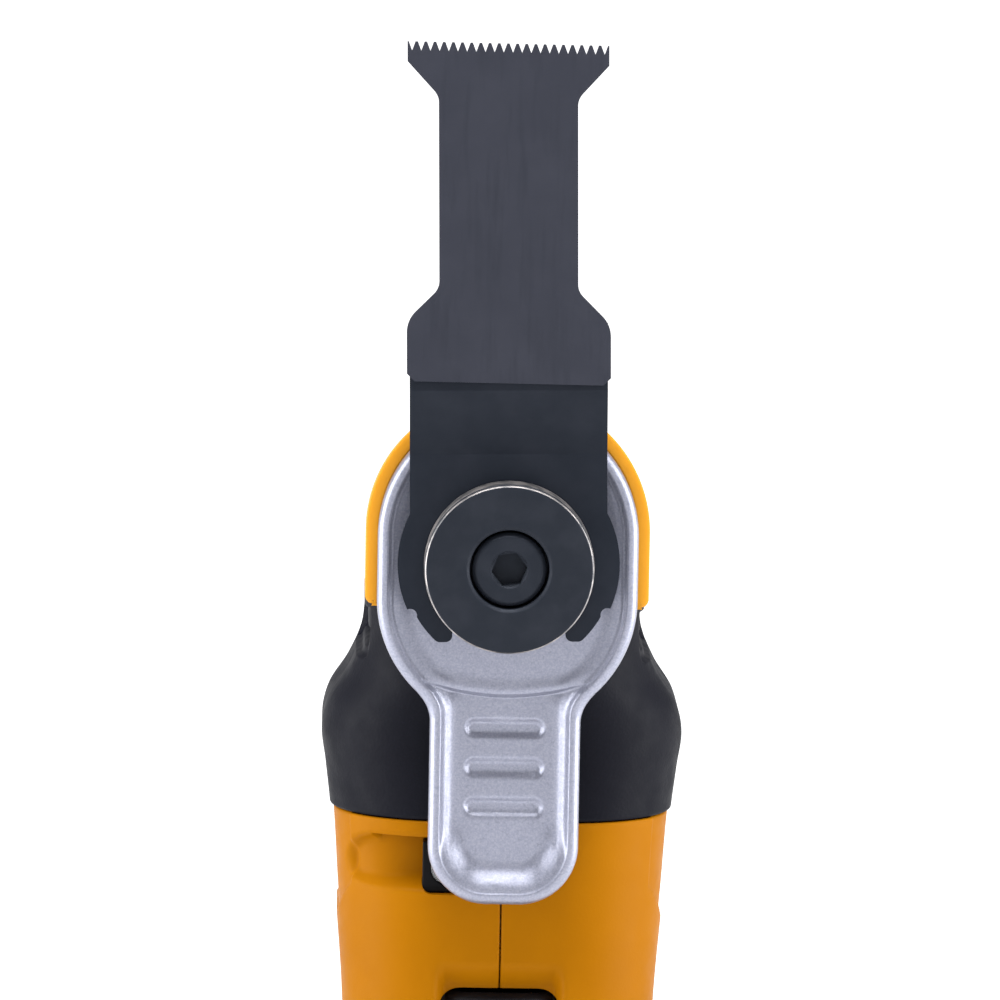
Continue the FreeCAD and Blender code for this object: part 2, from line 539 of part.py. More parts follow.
# ---- Blade -------------------------------------------------------------------------------------
hub = fuse("hub",
           cut("hub_top", cylinder("hub_disc", "Y", "hub_r", "plate_thick", 0, "rod_front", "spindle_z"),
               span("hub_top_cut", 30, -60, -20, "spindle_z-30", "spindle_z-7.6")),
           cylinder("leg_disc", "Y", "leg_r", "plate_thick", 0, "rod_front", "spindle_z"),
           span("hub_neck", "plate_half", "rod_front", "rod_front+plate_thick", "spindle_z",
                "spindle_z+joggle_low"))
hub_slot = fuse("hub_slot",
                cylinder("hub_bore", "Y", "hub_slot", 8, 0, "rod_front-4", "spindle_z"),
                padded("hub_mouth", "XZ_Plane",
                       [("-hub_slot", 0), ("hub_slot", 0), ("hub_slot+0.3", -20), ("-hub_slot-0.3", -20)], 20,
                       0, 0, "rod_front", "spindle_z"),
                span("hub_low_cut", 30, -60, -20, "spindle_z-30", "spindle_z-leg_low"),
                cylinder("hub_left_notch", "Y", "notch_r", 8, -15.8, "rod_front-4", "spindle_z-8.2"),
                cylinder("hub_right_notch", "Y", "notch_r", 8, 15.8, "rod_front-4", "spindle_z-8.2"))
joggled = padded("joggled", "YZ_Plane",
                 [("rod_front", "joggle_low"), ("rod_front+plate_thick", "joggle_low"),
                  ("rod_front+plate_thick-joggle", "joggle_high"), ("rod_front+plate_thick-joggle", "plate_top"),
                  ("rod_front-joggle", "plate_top"), ("rod_front-joggle", "joggle_high")],
                 "2*plate_half", 0, 0, 0, "spindle_z")
blade_turn = FreeCAD.Placement(Vector(), Rotation(Vector(0, 1, 0), -value("blade_skew")),
                               Vector(0, 0, value("spindle_z")))


def leg_end(spot, edge):
    """The corners at the ends of the hub's two legs."""
    return edge.BoundBox.YLength > 1 and abs(spot.z - value("spindle_z-leg_low")) < 0.05


hub_legs = rounded("hub_legs", cut("hub_open", fuse("plate_solid", hub, joggled), hub_slot), "1.1", leg_end)
mounting_plate = cut("blade_mounting_plate", hub_legs, *pin_holes)
mounting_plate.Placement = blade_turn
part("blade_mounting_plate", mounting_plate)

blade_face = "rod_front-joggle-blade_thick/2"
blade_outline = [("-blade_half+1.2", "blade_low"), ("blade_half-1.2", "blade_low"), ("blade_half", "blade_low+1.2"),
                 ("blade_half", "flare_low"), ("shank_half", "flare_high"), ("shank_half", "tee_low"),
                 ("tee_half", "tee_side"), ("tee_half", "blade_top"), ("-tee_half", "blade_top"),
                 ("-tee_half", "tee_side"), ("-shank_half", "tee_low"), ("-shank_half", "flare_high"),
                 ("-blade_half", "flare_low"), ("-blade_half", "blade_low+1.2")]


def slanted(points):
    """Outline points whose cross lines run a little off square, as the blade is cut."""
    return [(across, f"{height}-blade_slant*({across})") for across, height in points]


blade_blank = padded("blade_blank", "XZ_Plane", slanted(blade_outline), "blade_thick", 0, 0, blade_face, "spindle_z")
notches = []
for index in range(int(value("teeth"))):
    notches.append(padded(f"notch{index}", "XZ_Plane",
                          slanted([(f"-tee_half+2*tee_half/teeth*{index}+0.12", "blade_top+0.2"),
                                   (f"-tee_half+2*tee_half/teeth*({index}+0.5)", "blade_top-tooth_deep"),
                                   (f"-tee_half+2*tee_half/teeth*({index}+1)-0.12", "blade_top+0.2")]),
                          4, 0, 0, blade_face, "spindle_z"))


def blade_bend(*rows):
    """A chooser for the short edges at these outline heights."""
    def choose(spot, edge):
        height = spot.z - value("spindle_z") + spot.x * value("blade_slant")
        return edge.Length < 1 and any(abs(height - value(row)) < 0.1 for row in rows)
    return choose


blade_shoulders = rounded("blade_shoulders", blade_blank, "4.6", blade_bend("flare_low"))
blade_round = rounded("blade_round", blade_shoulders, "2.8", blade_bend("flare_high", "tee_low"))
cutting_plate = cut("blade_cutting_plate", blade_round, *notches)
cutting_plate.Placement = blade_turn
part("blade_cutting_plate", cutting_plate)

# ---- Clamp lever -------------------------------------------------------------------------------


def lever_outline(name, inset, front, back):
    """The lever's ring and tongue between two depths, moved in from its edge."""
    depth = f"({back})-({front})"
    high = cylinder(f"{name}_high", "Y", f"ring_r-({inset})", depth, 0, front, "spindle_z+ring_high")
    low = cylinder(f"{name}_low", "Y", f"ring_r-({inset})", depth, 0, front, "spindle_z-ring_low")
    middle = span(f"{name}_middle", f"ring_r-({inset})", front, back, "spindle_z-ring_low", "spindle_z+ring_high")
    return fuse(name, high, low, middle)


def tongue_outline(name, inset, front, back, top):
    body = doc.addObject("PartDesign::Body", name)
    sketch = body_sketch(body, f"{name}_outline", "XZ_Plane")
    rounded_rectangle(sketch, f"({inset})-tongue_half", f"tongue_half-({inset})", f"({inset})-tongue_end", top,
                      f"tongue_corner-({inset})")
    pad = body.newObject("PartDesign::Pad", f"{name}_pad")
    pad.Profile = sketch
    bind(pad, "Length", f"({back})-({front})")
    pad.Reversed = True
    return place(body, 0, front, "spindle_z")


lever_body = fuse("lever_body",
                  lever_outline("lever_ring", "0", "lever_rim", "lever_back"),
                  tongue_outline("lever_tongue", "0", "lever_rim", "tongue_back", "-6"))


def tongue_corner_edge(spot, edge):
    """The two inner corners where the tongue leaves the ring."""
    low = value("spindle_z") - 20
    along = edge.BoundBox.YLength > 2 and edge.BoundBox.XLength < 0.01
    return along and spot.z < low and abs(abs(spot.x) - value("tongue_half")) < 0.3 and spot.z > low - 8


lever_smooth = rounded("lever_smooth", lever_body, "3", tongue_corner_edge)
ring_dish = lever_outline("ring_dish", "rim_wide", "lever_rim-5", "lever_floor")
tongue_dish = tongue_outline("tongue_dish", "rim_wide", "lever_rim-5", "tongue_floor", "-13")
grooves = []
for index in range(3):
    height = f"spindle_z-groove_first-{index}*groove_pitch"
    inner = "(groove_long-groove_high)/2"
    for side, sign in SIDES.items():
        grooves.append(cylinder(f"groove{index}_{side}", "Y", "groove_high/2", 10, f"{sign}*{inner}",
                                "tongue_floor+groove_deep-10", height))
    grooves.append(box(f"groove{index}_mid", f"-({inner})", "tongue_floor+groove_deep-10",
                       f"{height}-groove_high/2", f"2*{inner}", 10, "groove_high"))
# the opening sits a little high, which leaves the flange room as the ring swings forward
ring_hole = cylinder("ring_hole_way", "Y", "ring_hole", 20, 0, "lever_rim-6", "spindle_z+ring_hole_up")
lever_extras = []
for side, sign in SIDES.items():
    low_x = "ear_in" if sign > 0 else "-ear_out"
    lever_extras.append(box(f"ear_{side}", low_x, "tongue_back-0.4", "spindle_z-pivot_drop-ear_r",
                            "ear_out-ear_in", "pivot_y-tongue_back+0.4", "2*ear_r"))
    lever_extras.append(cylinder(f"ear_end_{side}", "X", "ear_r", "ear_out-ear_in", low_x, "pivot_y",
                                 "spindle_z-pivot_drop"))
    pad_x = "10.9" if sign > 0 else "-17.2"
    lever_extras.append(box(f"pad_{side}", pad_x, "collar_back+0.5", "spindle_z-2", 6.3, 2.2, 4))
    web_x = "14.8" if sign > 0 else "-17.2"
    lever_extras.append(box(f"web_{side}", web_x, "lever_back-0.6", "spindle_z-2", 2.4,
                            "collar_back+2.7-lever_back+0.6", 4))
lever_cut = cut("lever_cut", lever_smooth, ring_dish, tongue_dish, ring_hole, *grooves)
part("clamp_lever", cut("clamp_lever", fuse("lever_whole", lever_cut, *lever_extras),
                        cylinder("lever_pin_way", "X", "pivot_r", 60, -30, "pivot_y", "spindle_z-pivot_drop")))
part("lever_pivot_pin", cylinder("lever_pivot_pin", "X", "pivot_r", "2*ear_out", "-ear_out", "pivot_y",
                                 "spindle_z-pivot_drop"))
coils = []
for index in range(3):
    coil = doc.addObject("Part::Torus", f"lever_coil{index}")
    coil.Radius1 = 2.9
    coil.Radius2 = 0.4
    coils.append(place(coil, f"lug_half+0.75+{index}*0.72", "pivot_y", "spindle_z-pivot_drop", TURNS["X"]))
part("lever_return_spring", fuse("lever_return_spring", *coils))

# ---- Motor and eccentric -----------------------------------------------------------------------
part("motor_shaft", turned("motor_shaft", "Z", [(0, 146), ("shaft_r", 146), ("shaft_r", 246), (0, 246)],
                           0, "motor_y", 0))
part("rotor", tube("rotor", "Z", "rotor_r", "shaft_r", "stator_high-stator_low", 0, "motor_y", "stator_low"))
stator_ring = tube("stator_ring", "Z", "motor_r", "motor_r-2.6", "stator_high-stator_low", 0, "motor_y",
                   "stator_low")
teeth = []
windings = []
for index in range(6):
    spoke = Rotation(Vector(0, 0, 1), 60 * index)
    tooth = box(f"stator_tooth{index}", 0, 0, 0, "motor_r-2-(rotor_r+0.5)", 3.4, "stator_high-stator_low")
    middle = spoke.multVec(Vector(value("rotor_r") + 0.5, -1.7, 0))
    place(tooth, middle.x, f"motor_y+({middle.y})", "stator_low", spoke)
    teeth.append(tooth)
    outer_coil = box(f"coil_out{index}", 0, 0, 0, 3.4, 7.4, "stator_high-stator_low+9")
    inner_coil = box(f"coil_in{index}", 0, 0, 0, 5.6, 3.44, "stator_high-stator_low+0.04")
    spot = spoke.multVec(Vector(10.9, -3.7, 0))
    place(outer_coil, spot.x, f"motor_y+({spot.y})", "stator_low-4.5", spoke)
    spot = spoke.multVec(Vector(9.9, -1.72, 0))
    place(inner_coil, spot.x, f"motor_y+({spot.y})", "stator_low-0.02", spoke)
    windings.append(cut(f"coil{index}", outer_coil, inner_coil))
part("stator_core", fuse("stator_core", stator_ring, *teeth))
part("stator_windings", group("stator_windings", windings))
part("motor_end_cap", cut("motor_end_cap",
                          turned("end_cap_turned", "Z",
                                 [(8, 0), ("motor_r", 0), ("motor_r", 5.6), (15, 5.6), (15, 2.2), (8, 2.2)],
                                 0, "motor_y", 147.4),
                          cylinder("end_cap_way", "Z", 7, 20, 0, "motor_y", 140)))
bearing("motor_rear_bearing", "Z", value("shaft_r") + 0.03, 8, 4.4, 0, "motor_y", 147.4)
part("cooling_fan", fuse("cooling_fan",
                         tube("fan_disc", "Z", 15.8, "shaft_r", 1.6, 0, "motor_y", 204.4),
                         tube("fan_hub", "Z", 5, "shaft_r", 8.4, 0, "motor_y", 197.6),
                         *[place(box(f"fan_blade{index}", 0, 0, 0, 11.4, 1, 7),
                                 f"{4.2 * math.cos(math.radians(36 * index)):.9f}",
                                 f"motor_y+({4.2 * math.sin(math.radians(36 * index)):.9f})", 198,
                                 Rotation(Vector(0, 0, 1), 36 * index)) for index in range(10)]))
part("motor_mount", turned("motor_mount", "Z",
                           [(6, 0), ("motor_r", 0), ("motor_r", 8), (15.6, 8), (15.6, 13), (8.04, 13), (8.04, 8),
                            (6, 8)], 0, "motor_y", 213.8))
bearing("motor_front_bearing", "Z", value("shaft_r") + 0.03, 8, 5, 0, "motor_y", 221.8)
weight = turned("weight_turned", "Z", [(0, 0), (10, 0), (10, 6), (0, 6)], 0, "motor_y", 238)
weight_pin = cylinder("weight_pin", "Z", 3, "eccentric_z+eccentric_wide-243", 0, "motor_y-throw", 243)
# the weight lies opposite the eccentric pin
weight_flat = box("weight_flat", -20, "motor_y-25.4", 230, 40, 20, 30)
part("eccentric_counterweight", cut("eccentric_counterweight",
                                    fuse("weight_solid", cut("weight_trimmed", weight, weight_flat), weight_pin),
                                    cylinder("weight_bore", "Z", "shaft_r", 12, 0, "motor_y", 234)))
bearing("eccentric_bearing", "Z", 3, value("eccentric_r"), value("eccentric_wide"), 0, "motor_y-throw",
        "eccentric_z")

# ---- Trigger, switch, lock button and work light -----------------------------------------------
trigger_solid = padded("trigger_solid", "YZ_Plane",
                       [("trigger_front+3.2", "trigger_low"), ("trigger_back", "trigger_low"),
                        ("trigger_back", "trigger_top"), ("trigger_front+6.2", "trigger_top"),
                        ("trigger_front+1.4", "trigger_top-9"), ("trigger_front", "trigger_top-24"),
                        ("trigger_front+0.6", "trigger_low+26"), ("trigger_front-0.6", "trigger_low+7")],
                       "2*trigger_half")
trigger_hollow = span("trigger_hollow", "trigger_half-2.2", "trigger_front+8.6", "trigger_back+5",
                      "trigger_low+8", "trigger_pin_z-5")
trigger_smooth = rounded("trigger_smooth", trigger_solid, 3,
                         lambda spot, edge: edge.Length < 60 and abs(abs(spot.x) - value("trigger_half")) < 0.01
                         and spot.y < value("trigger_front") + 3.3)
part("trigger", cut("trigger", trigger_smooth, trigger_hollow,
                    cylinder("trigger_bore", "X", "pin_r+0.06", 60, -30, "trigger_pin_y", "trigger_pin_z")))
part("trigger_pin", cylinder("trigger_pin", "X", "pin_r", 27.6, -13.8, "trigger_pin_y", "trigger_pin_z"))
part("switch_module", fuse("switch_module",
                           span("switch_box", 8, -10.4, 6, 114, 144),
                           span("switch_plunger", 2.4, -13, -10.4, 127.5, 132.5)))
spring_coils = []
for index in range(12):
    coil = doc.addObject("Part::Torus", f"trigger_coil{index}")
    coil.Radius1 = 2.2
    coil.Radius2 = 0.5
    spring_coils.append(place(coil, 0, f"-22.4+{index}*0.95", 139, TURNS["Y"]))
part("trigger_spring", fuse("trigger_spring", *spring_coils))
part("lock_button", turned("lock_button", "X", [(0, 0), (3.9, 0), (4.5, 0.6), (4.5, 7), (5.6, 7), (5.6, 8.2),
                                                (0, 8.2)], -27.4, 2, 124))
part("work_light_bezel", cut("work_light_bezel",
                             box("bezel_block", "light_x-light_half", "light_y", "light_z-light_half",
                                 "2*light_half", 4.6, "2*light_half"),
                             cylinder("bezel_way", "Y", 2.9, 20, "light_x", "light_y-6.2", "light_z")))
part("work_light_lens", turned("work_light_lens", "Y", [(0, 0), (2.85, 0), (2.85, 1.6), (0, 1.6)],
                               "light_x", "light_y", "light_z"))
part("work_light_led", turned("work_light_led", "Y", [(0, 0), (2.4, 0), (2.4, 1.6), (0, 1.6)],
                              "light_x", "light_y+1.9", "light_z"))
board = span("board_plate", 15, 12, 13.6, 84, 142)
chips = [box(f"chip{index}", -10 + 8 * (index % 2) * 1.4, 13.6, 88 + 13 * index, 7, 2.2, 8) for index in range(4)]
caps = [cylinder(f"capacitor{index}", "Y", 3.4, 9, -7 + 14 * index, 3, 92) for index in range(2)]
part("control_board", fuse("control_board", board, *chips, *caps))

# ---- Terminal block and battery ----------------------------------------------------------------
block = span("block_body", 20, "tower_back+2.4", "tower_back+7.6", 50, 61.8)
blades = [box(f"terminal{index}", -13.4 + 8.8 * index, "tower_back-9", 52.2, 0.8, 12, 6) for index in range(4)]
part("terminal_block", fuse("terminal_block", block, *blades))


def pack_shell(name, inset, low, high, corner):
    body = doc.addObject("PartDesign::Body", name)
    sketch = body_sketch(body, f"{name}_outline", "XY_Plane")
    rounded_rectangle(sketch, f"({inset})-pack_half", f"pack_half-({inset})", f"pack_front+({inset})",
                      f"pack_back-({inset})", corner)
    pad = body.newObject("PartDesign::Pad", f"{name}_pad")
    pad.Profile = sketch
    bind(pad, "Length", f"({high})-({low})")
    return place(body, 0, 0, low)


base_tub = cut("base_tub", pack_shell("base_outer", 0, 0, "pack_split", "pack_corner"),
               pack_shell("base_inner", "pack_wall", "pack_wall", "pack_split+5", "pack_corner-pack_wall"),
               cylinder("gauge_way", "Y", 3.35, 20, 22, -70, 15))
part("battery_base_shell", fuse("battery_base_shell", base_tub, span("spring_seat", 4, -57, -50.6, 2, 24)))
tower = fuse("tower",
             span("tower_stem", "tower_half", "tower_front", "tower_back", "pack_top-1", "tower_top"),
             span("tower_rails", "rail_half", "tower_front", "tower_back", "rail_low", "tower_top"))
top_slots = [box(f"slot{index}", -14.7 + 8.8 * index, "tower_back-11.6", 43.2, 3.4, 14, 20) for index in range(4)]
top_outer = fuse("top_outer", pack_shell("top_block", 0, "pack_split+0.15", "pack_top", "pack_corner"), tower)
latch_way = fuse("latch_way",
                 span("latch_way_high", 8.4, "-56.6", "-51.2", 40, 60),
                 span("latch_way_button", 12.4, "-70", "-51.2", 26.9, "42.6"))
part("battery_top_shell", cut("battery_top_shell", top_outer,
                              pack_shell("top_inner", "pack_wall", "pack_split-5", "pack_top-pack_wall",
                                         "pack_corner-pack_wall"),
                              span("tower_inner", "tower_half-2.4", "tower_front+2.4", "tower_back-13",
                                   40, "tower_top-2.2"),
                              latch_way, *top_slots))
CELL_FRONT = -38.2
cells_list = []
for layer in range(2):
    for column in range(5):
        depth = f"{CELL_FRONT}+{column}*cell_pitch"
        height = 12.1 + 18.9 * layer
        cells_list.append(turned(f"cell{layer}{column}", "X",
                                 [(0, 0), ("cell_r", 0), ("cell_r", "cell_long-1.2"), (4, "cell_long-1.2"),
                                  (4, "cell_long"), (0, "cell_long")], "-cell_long/2", depth, height))
part("battery_cells", group("battery_cells", cells_list))


def cell_holder(name, low_x):
    """An end frame with a round seat for each cell."""
    frame = box(f"{name}_frame", low_x, -47.7, 2.6, 6, 93.8, 38.2)
    ways = [cylinder(f"{name}_way{number}", "X", "cell_r+0.1", 10, low_x - 2,
                     f"{CELL_FRONT}+{number % 5}*cell_pitch", 12.1 + 18.9 * (number // 5)) for number in range(10)]
    return cut(name, frame, *ways)


part("cell_holders", group("cell_holders", [cell_holder("left_holder", -30), cell_holder("right_holder", 24)]))
part("battery_board", span("battery_board", 17, -38, 30, 42.4, 43.8))
contacts = []
for index in range(4):
    clip = box(f"clip{index}", -14.6 + 8.8 * index, "tower_back-11.5", 43.8, 3.2, 7, 12)
    gap = box(f"clip_gap{index}", -13.6 + 8.8 * index, "tower_back-13", 46, 1.2, 12, 12)
    contacts.append(cut(f"contact{index}", clip, gap))
part("battery_contacts", group("battery_contacts", contacts))
latch = fuse("latch",
             span("latch_stem", 8, "-56.2", "-51.6", 30, 49.6),
             span("latch_button", 12, "-61.6", "-55", 31, 42.2),
             span("latch_foot", 5, "-56.2", "-51.6", 30, 31))
part("battery_latch", latch)
latch_coils = []
for index in range(7):
    coil = doc.addObject("Part::Torus", f"latch_coil{index}")
    coil.Radius1 = 2
    coil.Radius2 = 0.4
    latch_coils.append(place(coil, 0, -53.9, f"24.45+{index}*0.78"))
part("latch_spring", fuse("latch_spring", *latch_coils))
part("gauge_button", turned("gauge_button", "Y", [(0, 0), (3.2, 0), (3.2, 3.2), (4.2, 3.2), (4.2, 4.2), (0, 4.2)],
                            22, "pack_front-0.6", 15))

# ---- Check every object, then write the sub-parts ----------------------------------------------
doc.recompute()
faults = [thing.Name for thing in doc.Objects if "Invalid" in thing.State or "Error" in thing.State]
for solid in parts:
    if solid.Shape.isNull() or not solid.Shape.isValid() or not solid.Shape.Solids:
        faults.append(f"{solid.Label} (shape)")
if faults:
    raise RuntimeError("failed objects: " + ", ".join(faults))

os.makedirs("parts", exist_ok=True)
for solid in parts:
    solid.Shape.exportStep(f"parts/{solid.Label}.step")
    print(f"{solid.Label}: {len(solid.Shape.Solids)} solid(s), {solid.Shape.Volume / 1000:.2f} cm3")
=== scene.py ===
import json
import math

import bmesh
import bpy
from mathutils import Matrix, Vector


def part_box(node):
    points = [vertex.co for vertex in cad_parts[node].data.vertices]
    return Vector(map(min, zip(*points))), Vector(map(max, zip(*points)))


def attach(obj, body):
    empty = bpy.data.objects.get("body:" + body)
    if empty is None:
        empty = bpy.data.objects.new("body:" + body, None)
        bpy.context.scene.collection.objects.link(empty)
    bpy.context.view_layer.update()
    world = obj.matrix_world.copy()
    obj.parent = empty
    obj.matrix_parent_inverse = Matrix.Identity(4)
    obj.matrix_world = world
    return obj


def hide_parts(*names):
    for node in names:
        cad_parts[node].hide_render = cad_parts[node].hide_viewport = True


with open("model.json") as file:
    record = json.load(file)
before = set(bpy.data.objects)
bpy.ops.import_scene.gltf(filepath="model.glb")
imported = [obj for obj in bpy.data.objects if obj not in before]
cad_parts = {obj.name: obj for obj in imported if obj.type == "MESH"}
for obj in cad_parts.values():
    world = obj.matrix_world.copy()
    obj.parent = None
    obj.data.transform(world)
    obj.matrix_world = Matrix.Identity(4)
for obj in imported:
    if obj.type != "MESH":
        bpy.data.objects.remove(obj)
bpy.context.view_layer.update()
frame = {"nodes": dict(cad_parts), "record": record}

# All lengths below are in millimetres in the frame of the CAD model, and MM turns them into metres.
MM = 0.001


def middle(node):
    low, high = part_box(node)
    return (low + high) / 2 / MM


SPINDLE_Z = middle("release_collar").z
NECK_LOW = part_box("neck_grip_left")[0].z / MM
NOSE_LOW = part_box("nose_cover")[0].z / MM
CASING_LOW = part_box("housing_left")[0].z / MM


# ---- Small helpers -----------------------------------------------------------------------------
def ramp(low, high, value):
    """0 below low, 1 above high, smooth between."""
    t = min(max((value - low) / (high - low), 0.0), 1.0)
    return t * t * (3 - 2 * t)


def blend(a, b, t):
    return a + (b - a) * t


def interpolate(table, at):
    """Smooth values between the rows of a table whose first column is the place."""
    last = len(table) - 1
    if at <= table[0][0]:
        return table[0][1:]
    if at >= table[last][0]:
        return table[last][1:]
    k = 0
    while table[k + 1][0] < at:
        k += 1
    rows = [table[max(k - 1, 0)], table[k], table[k + 1], table[min(k + 2, last)]]
    span = rows[2][0] - rows[1][0]
    t = (at - rows[1][0]) / span
    out = []
    for i in range(1, len(rows[0])):
        p0, p1, p2, p3 = (row[i] for row in rows)
        m1 = (p2 - p0) / max(rows[2][0] - rows[0][0], 1e-6) * span
        m2 = (p3 - p1) / max(rows[3][0] - rows[1][0], 1e-6) * span
        out.append((2 * t**3 - 3 * t**2 + 1) * p1 + (t**3 - 2 * t**2 + t) * m1
                   + (3 * t**2 - 2 * t**3) * p2 + (t**3 - t**2) * m2)
    return out


def linked(name, data):
    """A new object in the scene that holds this mesh, light or camera."""
    thing = bpy.data.objects.new(name, data)
    bpy.context.collection.objects.link(thing)
    return thing


def from_bmesh(name, work, smooth=True):
    """A new mesh object from a bmesh, which is freed."""
    mesh = bpy.data.meshes.new(name)
    work.to_mesh(mesh)
    work.free()
    if smooth:
        mesh.shade_smooth()
    return linked(name, mesh)


def add_object(name, verts, faces, smooth=True):
    """A mesh object from vertices in millimetres."""
    mesh = bpy.data.meshes.new(name)
    mesh.from_pydata([(x * MM, y * MM, z * MM) for x, y, z in verts], [], faces)
    mesh.validate()
    if smooth:
        mesh.shade_smooth()
    return linked(name, mesh)


def grid_faces(rows, columns, wrap=False, flip=False):
    faces = []
    for r in range(rows - 1):
        for c in range(columns if wrap else columns - 1):
            d = (c + 1) % columns
            quad = (r * columns + c, r * columns + d, (r + 1) * columns + d, (r + 1) * columns + c)
            faces.append(quad[::-1] if flip else quad)
    return faces


def outward(thing):
    """Turn the faces of a closed mesh outwards."""
    work = bmesh.new()
    work.from_mesh(thing.data)
    bmesh.ops.remove_doubles(work, verts=work.verts, dist=1e-6)
    bmesh.ops.recalc_face_normals(work, faces=work.faces)
    work.to_mesh(thing.data)
    work.free()


def face_away(thing, centre):
    """Turn an open skin's faces away from a line through its middle."""
    mesh = thing.data
    middle_point = Vector(centre) * MM
    tally = 0.0
    for face in mesh.polygons:
        away = face.center - middle_point
        tally += face.area * face.normal.dot(Vector((away.x, away.y, 0)).normalized())
    if tally < 0:
        mesh.flip_normals()


def bake(thing):
    """Replace the mesh by the result of its modifiers."""
    graph = bpy.context.evaluated_depsgraph_get()
    mesh = bpy.data.meshes.new_from_object(thing.evaluated_get(graph))
    thing.modifiers.clear()
    thing.data = mesh


def carve(thing, cutters):
    """Cut away a list of closed objects and remove them."""
    for cutter in cutters:
        outward(cutter)
        before = len(thing.data.polygons)
        whole = thing.data
        for solver in ("MANIFOLD", "EXACT"):
            step = thing.modifiers.new("carve", "BOOLEAN")
            step.operation = "DIFFERENCE"
            step.solver = solver
            step.object = cutter
            bpy.context.view_layer.update()
            bake(thing)
            if len(thing.data.polygons) > before / 2:
                break
            thing.data = whole
    for cutter in cutters:
        bpy.data.objects.remove(cutter)


def block(name, low, high, bevel=0.0, segments=3):
    """A box between two corners with rounded edges."""
    work = bmesh.new()
    bmesh.ops.create_cube(work, size=1)
    for vert in work.verts:
        for i in range(3):
            vert.co[i] = (low[i] if vert.co[i] < 0 else high[i]) * MM
    if bevel:
        bmesh.ops.bevel(work, geom=work.edges[:], offset=bevel * MM, segments=segments,
                        affect="EDGES", profile=0.5)
    return from_bmesh(name, work)


def rod(name, start, end, radius, segments=48):
    """A closed cylinder between two points."""
    start, end = Vector(start) * MM, Vector(end) * MM
    work = bmesh.new()
    bmesh.ops.create_cone(work, cap_ends=True, segments=segments, radius1=radius * MM, radius2=radius * MM,
                          depth=(end - start).length)
    turn = (end - start).to_track_quat("Z", "Y").to_matrix().to_4x4()
    bmesh.ops.transform(work, matrix=Matrix.Translation((start + end) / 2) @ turn, verts=work.verts)
    return from_bmesh(name, work, False)


def joined(name, things):
    """One object from several."""
    work = bmesh.new()
    for thing in things:
        work.from_mesh(thing.data)
        bpy.data.objects.remove(thing)
    return from_bmesh(name, work)


def soften(thing, width, segments=3, angle=30):
    """Round the sharp edges without touching the mesh."""
    weld = thing.modifiers.new("weld", "WELD")
    weld.merge_threshold = 1e-6
    edge = thing.modifiers.new("edge", "BEVEL")
    edge.width = width * MM
    edge.segments = segments
    edge.limit_method = "ANGLE"
    edge.angle_limit = math.radians(angle)
    edge.harden_normals = True


def crisp(thing, angle=35):
    """Smooth shading that breaks at sharp edges."""
    work = bmesh.new()
    work.from_mesh(thing.data)
    for edge in work.edges:
        if len(edge.link_faces) == 2 and edge.calc_face_angle(0) > math.radians(angle):
            edge.smooth = False
    for face in work.faces:
        face.smooth = True
    work.to_mesh(thing.data)
    work.free()


def lathe(name, axis_point, profile, segments=160):
    """A turned piece about a line along Y: profile points are (radius, depth from the axis point)."""
    verts = []
    for radius, depth in profile:
        for k in range(segments):
            angle = 2 * math.pi * k / segments
            verts.append((axis_point[0] + radius * math.cos(angle), axis_point[1] + depth,
                          axis_point[2] + radius * math.sin(angle)))
    thing = add_object(name, verts, grid_faces(len(profile), segments, wrap=True))
    outward(thing)
    return thing


def rounded_profile(points, radius, steps=5):
    """An open outline with each inner corner rounded."""
    out = [points[0]]
    for before, here, after in zip(points, points[1:], points[2:]):
        a, b, c = Vector(before), Vector(here), Vector(after)
        size = min(radius, (a - b).length * 0.45, (c - b).length * 0.45)
        start, end = b + (a - b).normalized() * size, b + (c - b).normalized() * size
        for k in range(steps + 1):
            t = k / steps
            spot = start.lerp(b, t).lerp(b.lerp(end, t), t)
            out.append((spot.x, spot.y))
    out.append(points[-1])
    return out


